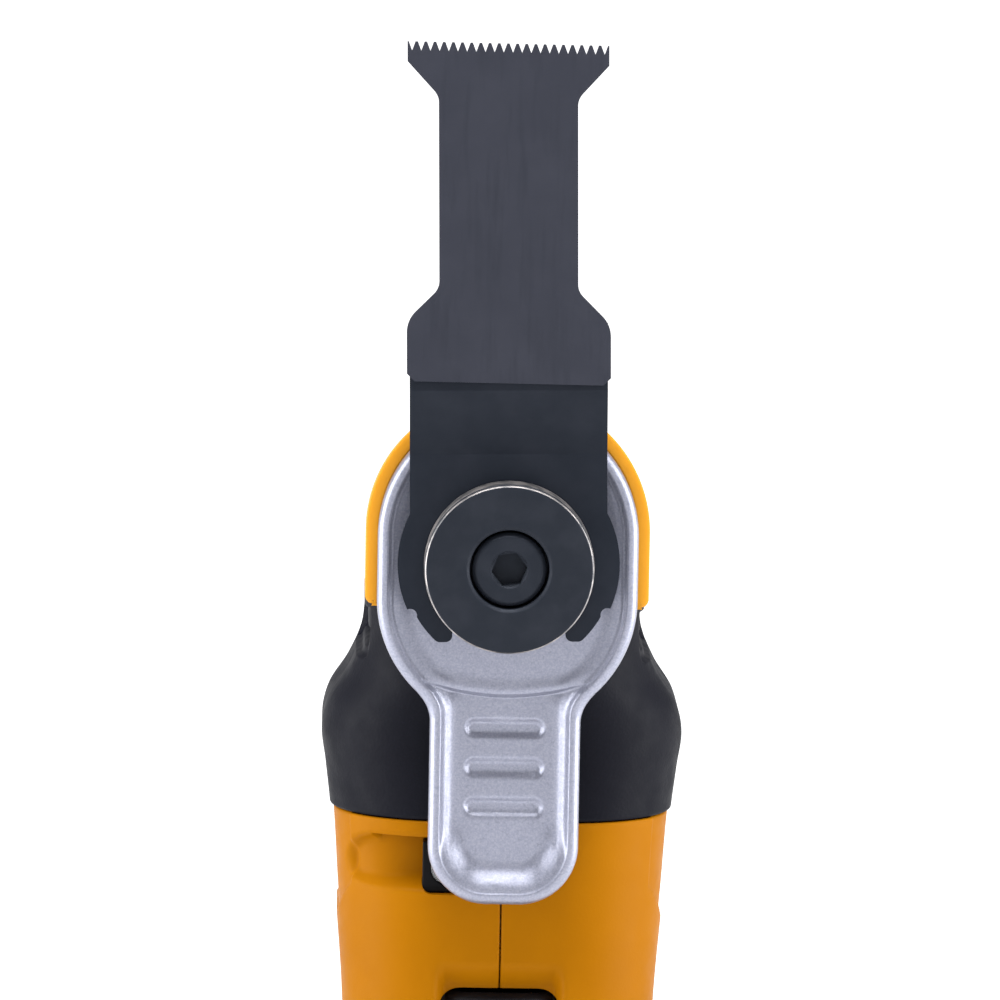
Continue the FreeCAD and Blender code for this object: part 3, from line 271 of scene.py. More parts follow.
# ---- Materials ---------------------------------------------------------------------------------
class Surface:
    """A node material on the principled shader, with short calls for what every finish shares."""

    def __init__(self, name, color, roughness, metallic=0.0, coat=0.0, specular=0.5):
        self.material = bpy.data.materials.new(name)
        self.material.use_nodes = True
        self.nodes = self.material.node_tree.nodes
        self.links = self.material.node_tree.links
        self.shader = self.nodes["Principled BSDF"]
        self.color = (*color, 1)
        self.shader.inputs["Base Color"].default_value = self.color
        self.shader.inputs["Roughness"].default_value = roughness
        self.shader.inputs["Metallic"].default_value = metallic
        self.shader.inputs["Specular IOR Level"].default_value = specular
        self.shader.inputs["Coat Weight"].default_value = coat
        self.shader.inputs["Coat Roughness"].default_value = 0.2
        self.place = self.nodes.new("ShaderNodeTexCoord")
        self.height = None

    def noise(self, size, detail=4.0, stretch=None):
        """Noise whose grain is about this many millimetres."""
        texture = self.nodes.new("ShaderNodeTexNoise")
        texture.inputs["Scale"].default_value = 1 / (size * MM)
        texture.inputs["Detail"].default_value = detail
        source = self.place.outputs["Object"]
        if stretch:
            mapping = self.nodes.new("ShaderNodeMapping")
            mapping.inputs["Scale"].default_value = stretch
            self.links.new(source, mapping.inputs["Vector"])
            source = mapping.outputs["Vector"]
        self.links.new(source, texture.inputs["Vector"])
        return texture.outputs["Fac"]

    def cells(self, size):
        texture = self.nodes.new("ShaderNodeTexVoronoi")
        texture.inputs["Scale"].default_value = 1 / (size * MM)
        self.links.new(self.place.outputs["Object"], texture.inputs["Vector"])
        return texture.outputs["Distance"]

    def ranged(self, source, low, high, out_low, out_high):
        node = self.nodes.new("ShaderNodeMapRange")
        node.inputs["From Min"].default_value = low
        node.inputs["From Max"].default_value = high
        node.inputs["To Min"].default_value = out_low
        node.inputs["To Max"].default_value = out_high
        self.links.new(source, node.inputs["Value"])
        return node.outputs["Result"]

    def tint(self, source, other, low=0.35, high=0.65):
        """Mix the base colour towards another where the source is high."""
        mix = self.nodes.new("ShaderNodeMix")
        mix.data_type = "RGBA"
        base = self.shader.inputs["Base Color"]
        if base.is_linked:
            self.links.new(base.links[0].from_socket, mix.inputs[6])
        else:
            mix.inputs[6].default_value = self.color
        mix.inputs[7].default_value = (*other, 1)
        self.links.new(self.ranged(source, low, high, 0, 1), mix.inputs["Factor"])
        self.links.new(mix.outputs[2], base)
        return self

    def rough(self, source, low, high):
        self.links.new(self.ranged(source, 0.3, 0.7, low, high), self.shader.inputs["Roughness"])
        return self

    def bump(self, source, depth, strength=1.0):
        """Bump whose full height is this many millimetres."""
        node = self.nodes.new("ShaderNodeBump")
        node.inputs["Distance"].default_value = depth * MM
        node.inputs["Strength"].default_value = strength
        self.links.new(source, node.inputs["Height"])
        if self.height:
            self.links.new(self.height, node.inputs["Normal"])
        self.height = node.outputs["Normal"]
        self.links.new(self.height, self.shader.inputs["Normal"])
        return self


# painted shade: the casing's base is a darker copy of the nose's yellow plastic, standing in for the shade on
# the casing below the head
def yellow_plastic():
    look = Surface("yellow_plastic", (0.30, 0.108, 0.0006), 0.5, specular=0.03)
    look.tint(look.noise(18), (0.27, 0.095, 0.0005), 0.35, 0.75)
    look.rough(look.noise(2.5), 0.36, 0.48)
    look.bump(look.noise(0.45, 2), 0.018)
    look.bump(look.noise(9), 0.05)
    return look.material


# painted light: the same yellow plastic as the casing, given a brighter base that stands in for the light
# falling on the nose
def painted_lit_nose_plastic():
    look = Surface("painted_lit_nose_plastic", (0.56, 0.24, 0.014), 0.44, specular=0.12)
    look.tint(look.noise(14), (0.52, 0.22, 0.012), 0.35, 0.75)
    look.rough(look.noise(2.5), 0.32, 0.44)
    look.bump(look.noise(0.45, 2), 0.012)
    return look.material


def black_rubber():
    look = Surface("black_rubber", (0.004, 0.0043, 0.0075), 0.44, specular=0.06)
    look.tint(look.noise(22), (0.0055, 0.0058, 0.0095), 0.4, 0.75)
    look.rough(look.noise(4), 0.44, 0.6)
    look.bump(look.cells(0.55), 0.02)
    look.bump(look.noise(6), 0.08)
    return look.material


def black_plastic():
    look = Surface("black_plastic", (0.004, 0.004, 0.005), 0.42, specular=0.08)
    look.rough(look.noise(3), 0.36, 0.5)
    look.bump(look.noise(0.4, 2), 0.02)
    return look.material


def lever_paint():
    look = Surface("lever_paint", (0.235, 0.245, 0.315), 0.36, metallic=0.6, coat=0.45)
    look.tint(look.noise(0.3, 3), (0.29, 0.30, 0.37), 0.4, 0.66)
    look.tint(look.cells(0.4), (0.20, 0.21, 0.27), 0.6, 1.0)
    look.rough(look.noise(1.2), 0.3, 0.46)
    look.bump(look.noise(0.5, 3), 0.03)
    return look.material


def black_oxide():
    look = Surface("black_oxide", (0.015, 0.018, 0.025), 0.46, metallic=0.3, specular=0.1)
    look.tint(look.noise(5), (0.020, 0.023, 0.031), 0.42, 0.7)
    look.rough(look.noise(1.6), 0.34, 0.52)
    look.bump(look.noise(0.25, 3), 0.01)
    return look.material


# painted highlight: a brighter steel for the washer's rim faces, standing in for the light caught along its
# edge; the darker blotches break the highlight up
def painted_edge_highlight():
    look = Surface("painted_edge_highlight", (0.36, 0.335, 0.33), 0.46, metallic=0.9)
    look.tint(look.noise(2.2, 3), (0.12, 0.12, 0.125), 0.4, 0.62)
    look.bump(look.noise(0.3, 3), 0.02)
    return look.material


def blade_coating():
    look = Surface("blade_coating", (0.027, 0.029, 0.040), 0.5, metallic=0.25, specular=0.14)
    look.tint(look.noise(9, 5), (0.031, 0.033, 0.045), 0.4, 0.72)
    look.tint(look.noise(1.4, 4, (1, 1, 0.12)), (0.024, 0.026, 0.036), 0.5, 0.75)
    look.rough(look.noise(3.5), 0.38, 0.54)
    look.bump(look.noise(0.2, 3), 0.008)
    return look.material


def plate_coating():
    look = Surface("plate_coating", (0.012, 0.015, 0.022), 0.5, metallic=0.25, specular=0.1)
    look.tint(look.noise(7, 5), (0.016, 0.019, 0.027), 0.4, 0.72)
    look.rough(look.noise(3), 0.4, 0.56)
    look.bump(look.noise(0.2, 3), 0.008)
    return look.material


def machined_steel():
    look = Surface("machined_steel", (0.52, 0.52, 0.53), 0.28, metallic=1.0)
    look.rough(look.noise(0.6, 3), 0.2, 0.38)
    look.bump(look.noise(0.15, 3), 0.004)
    return look.material


def screw_steel():
    look = Surface("screw_steel", (0.12, 0.12, 0.125), 0.5, metallic=0.8)
    look.tint(look.noise(1.1, 3), (0.08, 0.08, 0.085), 0.4, 0.7)
    look.bump(look.noise(0.3, 3), 0.01)
    return look.material


def cast_alloy():
    look = Surface("cast_alloy", (0.5, 0.51, 0.53), 0.45, metallic=0.9)
    look.tint(look.noise(3), (0.42, 0.43, 0.45), 0.4, 0.7)
    look.bump(look.noise(0.5, 3), 0.03)
    return look.material


def copper_wire():
    look = Surface("copper_wire", (0.75, 0.3, 0.12), 0.3, metallic=1.0)
    look.tint(look.noise(0.8), (0.55, 0.18, 0.07), 0.4, 0.7)
    look.bump(look.noise(0.5, 1, (1, 1, 0.1)), 0.05)
    return look.material


def circuit_board():
    look = Surface("circuit_board", (0.012, 0.09, 0.035), 0.35)
    look.tint(look.cells(1.6), (0.03, 0.16, 0.07), 0.3, 0.5)
    look.bump(look.noise(0.8), 0.02)
    return look.material


def clear_lens():
    look = Surface("clear_lens", (0.9, 0.93, 0.97), 0.08)
    look.shader.inputs["Transmission Weight"].default_value = 0.9
    look.bump(look.noise(1.5), 0.01)
    return look.material


def led_yellow():
    look = Surface("led_yellow", (0.9, 0.75, 0.15), 0.3)
    look.tint(look.cells(0.9), (0.95, 0.9, 0.6), 0.2, 0.5)
    return look.material


def cell_wrap():
    look = Surface("cell_wrap", (0.03, 0.11, 0.26), 0.25)
    look.tint(look.noise(6), (0.045, 0.15, 0.33), 0.4, 0.7)
    return look.material


def studio_floor():
    """Pale paper, lit white far away from the object."""
    look = Surface("studio_floor", (0.80, 0.80, 0.805), 0.7)
    look.tint(look.noise(150), (0.78, 0.78, 0.785), 0.3, 0.7)
    reach = look.nodes.new("ShaderNodeVectorMath")
    reach.operation = "LENGTH"
    look.links.new(look.place.outputs["Object"], reach.inputs[0])
    glow = look.ranged(reach.outputs["Value"], 0.45, 1.1, 0.25, 1.0)
    look.shader.inputs["Emission Color"].default_value = (1, 1, 1, 1)
    look.links.new(glow, look.shader.inputs["Emission Strength"])
    return look.material


FINISHES = {
    "yellow_plastic": yellow_plastic(), "black_rubber": black_rubber(), "black_plastic": black_plastic(),
    "painted_lever": lever_paint(), "cast_alloy": cast_alloy(), "bright_steel": machined_steel(),
    "black_steel": black_oxide(), "blade_steel": blade_coating(), "copper": copper_wire(),
    "circuit_board": circuit_board(), "clear_lens": clear_lens(), "led": led_yellow(),
    "cell_wrap": cell_wrap(),
}
# painted light: the nose's finish is the brighter, lit copy of the yellow plastic
NOSE_PAINTED_LIGHT_FINISH = painted_lit_nose_plastic()
PLATE_FINISH = plate_coating()
# painted highlight: the brighter steel for the washer's rim
EDGE_HIGHLIGHT_FINISH = painted_edge_highlight()

SCREW_FINISH = screw_steel()

slots = {row["node"]: row["material_slot"] for row in frame["record"]["subparts"]}
for node, thing in frame["nodes"].items():
    thing.data.materials.clear()
    thing.data.materials.append(FINISHES[slots[node]])


def settle(thing, body, slot, nodes=(), finish=None):
    """Give a new piece its finish, its body and the nodes that it stands for."""
    if finish is not False:
        thing.data.materials.clear()
        thing.data.materials.append(finish or FINISHES[slot])
    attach(thing, body)
    if nodes:
        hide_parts(*nodes)
    return thing


# ---- Casing and neck ---------------------------------------------------------------------------
# height, half width, front, back, corner radius
CASING = [
    (48.4, 36.5, -58, 46, 12), (60, 36.3, -57, 45, 12), (72, 33, -50, 40.5, 14), (88, 28, -37, 34, 16.5),
    (110, 24.8, -29, 29.6, 17), (140, 24, -27.2, 28, 17), (175, 24.4, -27.4, 28, 17),
    (203, 25.6, -26.8, 28.5, 17), (220, 27, -25.6, 29, 18), (232.5, 27.9, -25.4, 29.5, 18.5),
    (240, 28.8, -25.4, 30, 19), (245.7, 29.5, -25.6, 30, 19.3), (250.5, 28.4, -26.2, 29.8, 19),
    (255.5, 25.3, -27.4, 29, 18.5), (261, 23.1, -28.3, 28, 17.5), (268.5, 22.8, -28.5, 27, 17),
]


def section_point(half, front, back, corner, along):
    """A point and its outward direction, this far along the right half outline from the front seam."""
    flat_front, side = half - corner, back - front - 2 * corner
    arc = corner * math.pi / 2
    if along < flat_front:
        return along, front, 0.0, -1.0
    along -= flat_front
    if along < arc:
        angle = along / corner
        return (flat_front + corner * math.sin(angle), front + corner - corner * math.cos(angle),
                math.sin(angle), -math.cos(angle))
    along -= arc
    if along < side:
        return half, front + corner + along, 1.0, 0.0
    along -= side
    if along < arc:
        angle = along / corner
        return (flat_front + corner * math.cos(angle), back - corner + corner * math.sin(angle),
                math.cos(angle), math.sin(angle))
    return flat_front - (along - arc), back, 0.0, 1.0


def half_length(half, front, back, corner):
    return 2 * (half - corner) + (back - front - 2 * corner) + math.pi * corner


def seam_steps(count, length):
    """Even steps along an outline, with extra ones close to both seams."""
    near = [0, 0.06, 0.14, 0.26, 0.42, 0.62, 0.9]
    even = [1.3 + (length - 2.6) * k / count for k in range(count + 1)]
    return [step / length for step in near + even + [length - step for step in reversed(near)]]


def heights(low, high, step, near_low=True, near_high=True):
    near = [0, 0.08, 0.18, 0.32, 0.5, 0.75]
    inner_low = low + (1.1 if near_low else 0)
    inner_high = high - (1.1 if near_high else 0)
    count = max(2, round((inner_high - inner_low) / step))
    rows = [inner_low + (inner_high - inner_low) * k / count for k in range(count + 1)]
    if near_low:
        rows = [low + step_up for step_up in near] + rows
    if near_high:
        rows = rows + [high - step_down for step_down in reversed(near)]
    return rows


def curl(distance, size=0.45):
    """How far an edge turns inwards this far from its end."""
    if distance >= size:
        return 0.0
    return size - math.sqrt(max(size * size - (size - distance) ** 2, 0.0))


def casing_surface(name, side, rows, sink, columns=220, inset=0.0):
    """Half of the casing's skin, pushed inwards by sink(x, y, z, along, length)."""
    verts = []
    steps = seam_steps(columns, 76)
    for z in rows:
        half, front, back, corner = interpolate(CASING, z)
        length = half_length(half, front, back, corner)
        for step in steps:
            along = step * length
            x, y, out_x, out_y = section_point(half, front, back, corner, along)
            x += 0.08
            push = inset + sink(x * side, y, z, along, length)
            verts.append(((x - out_x * push) * side, y - out_y * push, z))
    thing = add_object(name, verts, grid_faces(len(rows), len(steps), flip=side < 0))
    face_away(thing, (0, 0, 0))
    return thing


TRIGGER_LOW, TRIGGER_TOP = (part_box("trigger")[k].z / MM for k in (0, 1))
TRIGGER_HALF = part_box("trigger")[1].x / MM


def trigger_surround(x, y, z):
    """The shallow dish that the trigger stands in."""
    if y > -10:
        return 0.0
    across = 1 - ramp(TRIGGER_HALF - 0.4, TRIGGER_HALF + 1.6, abs(x))
    top = 1 - ramp(TRIGGER_TOP + 0.6, TRIGGER_TOP + 5.4, z)
    low = ramp(TRIGGER_LOW - 5.5, TRIGGER_LOW - 0.5, z)
    return 2.9 * across * top * low


def light_scoop(x, y, z):
    """The left side's scoop in front of the work light: flat above, dished below."""
    if x > -5 or y > -4:
        return 0.0
    top, low = SPINDLE_Z - 46.9, SPINDLE_Z - 55.6
    end = -25.6
    middle_z = (top + low) / 2 - 0.3
    # rounded outer end
    reach = math.hypot(max(0, (end + 4.4) - x), (z - middle_z) * 0.98)
    rounded_end = 1 - ramp(3.4, 4.7, reach) if x < end + 4.4 else 1.0
    upper = 1 - ramp(top - 0.25, top + 0.25, z)
    lower = ramp(low - 0.2, low + 2.3, z)
    slope = blend(1.5, 4.9, ramp(end, -12, x))
    return slope * upper * lower * rounded_end


def side_recess(x, y, z):
    """The shallow flat at each side below the neck, with a slanted lower front corner."""
    front_edge = -17.0 + max(0.0, (221.5 - z)) * 1.15
    inside = (ramp(front_edge - 0.35, front_edge + 0.35, y) * (1 - ramp(18.6, 19.4, y))
              * ramp(215.2, 216.0, z))
    return 0.55 * inside


VENT_PITCH = 4.2
VENTS = [191 + VENT_PITCH * k for k in range(6)]
VENT_FRONT, VENT_BACK, VENT_HALF_HIGH = -1, 13, 1
HOUSING_WALL = 2.6
NECK_WALL = 1.7
SCREW_HOLE_R = 3.6
BUTTON_HOLE_R = 4.7
BUTTON_PLACE = middle("lock_button")


def housing_sink(x, y, z, along, length):
    sink = 0.5 * max(curl(along), curl(length - along)) / 0.45
    sink += trigger_surround(x, y, z) + light_scoop(x, y, z) + side_recess(x, y, z)
    top_edge = NECK_LOW - 0.12 - z
    if top_edge < 0.45:
        sink += curl(max(top_edge, 0))
    if x < 0:
        ring = math.hypot(y - BUTTON_PLACE.y, z - BUTTON_PLACE.z)
        sink += 1.1 * (1 - ramp(5.4, 8.2, ring))
    return sink


def screw_places():
    """The centre of every casing screw, read from the screws' own mesh."""
    mesh = frame["nodes"]["housing_screws"].data
    work = bmesh.new()
    work.from_mesh(mesh)
    bmesh.ops.remove_doubles(work, verts=work.verts, dist=1e-6)
    places = []
    left = set(work.verts)
    while left:
        stack, island = [left.pop()], []
        while stack:
            vert = stack.pop()
            island.append(vert.co.copy())
            for edge in vert.link_edges:
                other = edge.other_vert(vert)
                if other in left:
                    left.discard(other)
                    stack.append(other)
        low_y, high_y = min(p.y for p in island), max(p.y for p in island)
        low_z, high_z = min(p.z for p in island), max(p.z for p in island)
        places.append(((low_y + high_y) / 2 / MM, (low_z + high_z) / 2 / MM, max(p.x for p in island) / MM))
    work.free()
    # the islands are found in any order, and the cuts are made in this one
    return sorted(places)


SCREWS = screw_places()


def housing(side, name):
    rows = heights(CASING_LOW, NECK_LOW - 0.12, 0.5)
    shell = casing_surface(f"casing_{name}", side, rows, housing_sink)
    thick = shell.modifiers.new("thick", "SOLIDIFY")
    thick.thickness = HOUSING_WALL * MM
    thick.offset = -1
    bake(shell)
    cutters = [
        block("slot_cut", (-TRIGGER_HALF - 0.8, -60, TRIGGER_LOW - 1.6),
              (TRIGGER_HALF + 0.8, -10, TRIGGER_TOP + 0.7), 3.6, 7),
        block("channel_cut", (-22.6, -90, CASING_LOW - 5), (22.6, 32, 55.7)),
        block("rail_cut", (-25.8, -90, 55.4), (25.8, 32, 62.2)),
    ]
    if side > 0:
        for y, z, head in SCREWS:
            cutters.append(rod("screw_cut", (head - 2.2, y, z), (60, y, z), SCREW_HOLE_R))
    else:
        cutters.append(rod("button_cut", (-60, BUTTON_PLACE.y, BUTTON_PLACE.z),
                           (-15, BUTTON_PLACE.y, BUTTON_PLACE.z), BUTTON_HOLE_R))
        light_low, light_high = (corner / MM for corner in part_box("work_light_bezel"))
        cutters.append(block("light_cut", (light_low.x - 0.1, -40, light_low.z - 0.1),
                             (light_high.x + 0.1, -20, light_high.z + 0.1), 1.6, 6))
    vent_low, vent_high = sorted((side * 16, side * 40))
    for z in VENTS:
        cutters.append(block("vent_cut", (vent_low, VENT_FRONT, z - VENT_HALF_HIGH),
                             (vent_high, VENT_BACK, z + VENT_HALF_HIGH), 0.9))
    carve(shell, cutters)
    crisp(shell, 50)
    return settle(shell, "body", "yellow_plastic", [f"housing_{name}"])


def skin_reach(y, z):
    """Half width of the casing at this depth and height."""
    half, front, back, corner = interpolate(CASING, z)
    past = max(front + corner - y, y - (back - corner), 0.0)
    return half - corner + math.sqrt(max(corner**2 - past**2, 0.0))


WELL_OUTER, WELL_INNER, WELL_FLOOR = 4.6, 3.62, 1.2


def screw_wells():
    """The tubes that the casing screws sit in, ending inside the casing's wall."""
    tubes = []
    for y, z, head in SCREWS:
        around = (-WELL_OUTER, 0, WELL_OUTER)
        top = min(skin_reach(y + dy, z + dz) for dy in around for dz in around) - 1.2
        floor = head - 3.4
        if top < head:
            continue
        deep = top - floor
        profile = [(0, 0), (WELL_OUTER, 0), (WELL_OUTER, deep), (WELL_INNER, deep), (WELL_INNER, WELL_FLOOR),
                   (0, WELL_FLOOR)]
        tube = lathe("well", (0, 0, 0), profile, 64)
        tube.data.transform(Matrix.Rotation(-math.pi / 2, 4, "Z"))
        tube.data.transform(Matrix.Translation(Vector((floor, y, z)) * MM))
        tubes.append(tube)
    return settle(joined("screw_wells", tubes), "body", "yellow_plastic")


def neck_sink(x, y, z, along, length):
    sink = 0.4 * max(curl(along, 0.3), curl(length - along, 0.3))
    low_edge = z - (NECK_LOW + 0.05)
    if low_edge < 0.5:
        sink += curl(max(low_edge, 0), 0.5)
    top_edge = NOSE_LOW - 0.1 - z
    if top_edge < 0.8:
        sink += curl(max(top_edge, 0), 0.8)
    # ledge and slot for a clip-on guide, along each flank
    if abs(x) > 12:
        band = (ramp(258.2, 258.7, z) * (1 - ramp(266.2, 266.7, z))
                * ramp(-17, -16.4, y) * (1 - ramp(11, 11.6, y)))
        slot = (ramp(260.2, 260.5, z) * (1 - ramp(262.6, 262.9, z))
                * ramp(-15, -14.6, y) * (1 - ramp(9.4, 9.8, y)))
        sink += 0.75 * band + 1.1 * slot
    return sink


def neck(side, name):
    rows = heights(NECK_LOW + 0.05, NOSE_LOW - 0.05, 0.35)
    sleeve = casing_surface(f"neck_{name}", side, rows, neck_sink, columns=190)
    thick = sleeve.modifiers.new("thick", "SOLIDIFY")
    thick.thickness = NECK_WALL * MM
    thick.offset = -1
    bake(sleeve)
    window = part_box("lever_pivot_pin")
    carve(sleeve, [block("window_cut", (window[0].x / MM - 0.9, -60, window[0].z / MM - 6),
                         (window[1].x / MM + 0.9, -13, window[1].z / MM + 7))])
    crisp(sleeve, 50)
    return settle(sleeve, "body", "black_rubber", [f"neck_grip_{name}"])


for sign, word in ((-1, "left"), (1, "right")):
    housing(sign, word)
    neck(sign, word)
screw_wells()
frame["nodes"]["housing_screws"].data.materials[0] = SCREW_FINISH


# ---- Nose cover --------------------------------------------------------------------------------
# depth, half width, top above the spindle axis, corner radius
NOSE = [(-30.6, 22.9, 26.4, 22.3), (-12, 22.9, 23.9, 21.6), (6, 22.4, 21.2, 20.8), (18, 21.2, 19, 19.4),
        (25, 19, 16, 17.4), (29.5, 15, 11.4, 13.6)]


def arch_point(half, top, corner, share):
    """A point on the arch outline and its outward direction: share runs from left foot to right foot."""
    top_z = SPINDLE_Z + top
    side_run = top_z - corner - NOSE_LOW
    arc = corner * math.pi / 2
    flat = 2 * (half - corner)
    along = share * (2 * side_run + 2 * arc + flat)
    if along < side_run:
        return -half, NOSE_LOW + along, -1.0, 0.0
    along -= side_run
    if along < arc:
        angle = along / corner
        return (-half + corner - corner * math.cos(angle), top_z - corner + corner * math.sin(angle),
                -math.cos(angle), math.sin(angle))
    along -= arc
    if along < flat:
        return -half + corner + along, top_z, 0.0, 1.0
    along -= flat
    if along < arc:
        angle = along / corner
        return (half - corner + corner * math.sin(angle), top_z - corner + corner * math.cos(angle),
                math.sin(angle), math.cos(angle))
    along -= arc
    return half, top_z - corner - along, 1.0, 0.0


def nose_cover():
    columns = 200
    front, back = NOSE[0][0], NOSE[-1][0]
    wall, lip = 2.2, 0.45
    rings = []
    # inside wall, rounded front lip, outer skin, then the closing back
    for depth, inward in [(front + 3.4, 5.2), (front + 2.6, 5.2), (front + 2.4, 5.0),
                          (front + 2.4, wall + 0.2), (front + 2.2, wall), (front + lip, wall)]:
        rings.append((depth, inward, 1.0))
    for k in range(1, 9):
        angle = math.pi / 2 * k / 8
        rings.append((front + lip - lip * math.sin(angle), wall - lip * (1 - math.cos(angle)), 1.0))
    for k in range(1, 9):
        angle = math.pi / 2 * k / 8
        inward = (wall - lip) - (wall - lip) * math.sin(angle)
        rings.append((front + lip * (1 - math.cos(angle)), inward, 1.0))
    count = 90
    for k in range(1, count + 1):
        rings.append((front + lip + (back - front - lip) * k / count, 0.0, 1.0))
    for k in range(1, 25):
        t = k / 24
        rings.append((back + 0.25 * math.sin(math.pi / 2 * t), 0.0, 1.0 - t))
    verts = []
    for depth, inward, scale in rings:
        half, top, corner = interpolate(NOSE, depth)
        for k in range(columns + 1):
            share = k / columns
            x, z, out_x, out_z = arch_point(half, top, corner, share)
            foot = min(share, 1 - share) * 120
            # the arch's feet turn in at the bottom
            turn = curl(foot, 2.0) if foot < 2 else 0.0
            x, z = x - out_x * (inward + turn * (1 if inward < 1.1 else -0.2)), z - out_z * inward
            # the back closes onto the middle of its lower edge
            verts.append((x * scale, depth, NOSE_LOW + (z - NOSE_LOW) * scale))
    cover = add_object("nose_shell", verts, grid_faces(len(rings), columns + 1, flip=True))
    skin = max(cover.data.polygons, key=lambda face: face.center.z if abs(face.center.y) < 0.01 else -1)
    if skin.normal.z < 0:
        cover.data.flip_normals()
    thick = cover.modifiers.new("thick", "SOLIDIFY")
    thick.thickness = 0.9 * MM
    thick.offset = -1
    bake(cover)
    crisp(cover, 60)
    # painted light: the nose takes the brighter, lit copy of the yellow plastic
    return settle(cover, "body", "yellow_plastic", ["nose_cover"], NOSE_PAINTED_LIGHT_FINISH)


nose_cover()

# ---- Clamp lever -------------------------------------------------------------------------------
LEVER_LOW, LEVER_HIGH = (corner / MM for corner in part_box("clamp_lever"))
RING_R = LEVER_HIGH.x
RING_TOP = LEVER_HIGH.z - RING_R
RING_BOTTOM = RING_TOP - 10.0
TONGUE_HALF = 11.9
TONGUE_END = LEVER_LOW.z
TONGUE_CORNER = 9.6
RIM_Y = LEVER_LOW.y
LEVER_BACK = RIM_Y + 4.4
POLE = (0.0, SPINDLE_Z - 22.0)


def lever_inside(x, z):
    """Distance inside the lever's outline: positive inside, with a soft join at the neck."""
    near_z = min(max(z, RING_BOTTOM), RING_TOP)
    ring = RING_R - math.hypot(x, z - near_z)
    half = TONGUE_HALF + 0.25 * ramp(TONGUE_END + 35, SPINDLE_Z - 22, z)
    bx = abs(x) - (half - TONGUE_CORNER)
    bz = (TONGUE_END + TONGUE_CORNER) - z
    tongue = TONGUE_CORNER - math.hypot(max(bx, 0), max(bz, 0)) - min(max(bx, bz), 0)
    if z > SPINDLE_Z - 8:
        return ring
    k = 2.6
    mix = min(max(0.5 + 0.5 * (ring - tongue) / k, 0.0), 1.0)
    return tongue + (ring - tongue) * mix + k * mix * (1 - mix)


def lever_reach(angle, inside):
    """How far from the pole the outline at this inset lies in this direction."""
    low, high = 0.0, 60.0
    for _ in range(34):
        mid = (low + high) / 2
        x, z = POLE[0] + mid * math.sin(angle), POLE[1] - mid * math.cos(angle)
        if lever_inside(x, z) > inside:
            low = mid
        else:
            high = mid
    return low


GROOVE_FIRST, GROOVE_PITCH = 27.6, 6.45
GROOVES = [SPINDLE_Z - GROOVE_FIRST - GROOVE_PITCH * k for k in range(3)]
LEVER_HOLE_R, LEVER_HOLE_UP = 15.4, 0.9


LEVER_EDGE = 1.6


def lever_front(x, z, inside):
    """Depth of the lever's front face."""
    edge = LEVER_EDGE
    if inside < edge:
        return RIM_Y + edge - math.sqrt(max(edge**2 - (edge - inside) ** 2, 0))
    low_end = 1 - ramp(TONGUE_END + 7, TONGUE_END + 13, z)
    crease_z = SPINDLE_Z - 22.3 + (x * x) / 75
    in_tongue = 1 - ramp(crease_z - 0.45, crease_z + 0.45, z)
    wall = blend(0.95, 1.25, in_tongue) * ramp(edge, edge + 0.95, inside)
    dish = blend(0.45, 0.55, in_tongue) * ramp(edge + 0.9, edge + 4.2, inside)
    depth = wall + dish + 0.75 * in_tongue * ramp(edge + 0.6, edge + 2.4, inside)
    # the ring's floor swells a little before the step down to the tongue
    swell = math.exp(-((z - crease_z - 1.1) ** 2))
    depth -= 0.3 * (1 - in_tongue) * swell * ramp(edge + 1, edge + 3, inside)
    # the tip is scooped up towards its lip
    scoop = 0.25 * ramp(edge, edge + 0.5, inside) + 2.35 * ramp(edge + 0.2, edge + 5.2, inside)
    depth = blend(depth, scoop, low_end)
    for groove in GROOVES:
        dx = max(abs(x) - 4.9, 0)
        reach = math.hypot(dx, z - groove)
        depth += 0.7 * (1 - ramp(0.55, 1.85, reach))
    return RIM_Y + depth


def lever_point(angle, inset):
    """The point in this direction from the pole, this far inside the outline."""
    reach = lever_reach(angle, inset)
    return POLE[0] + reach * math.sin(angle), POLE[1] - reach * math.cos(angle)


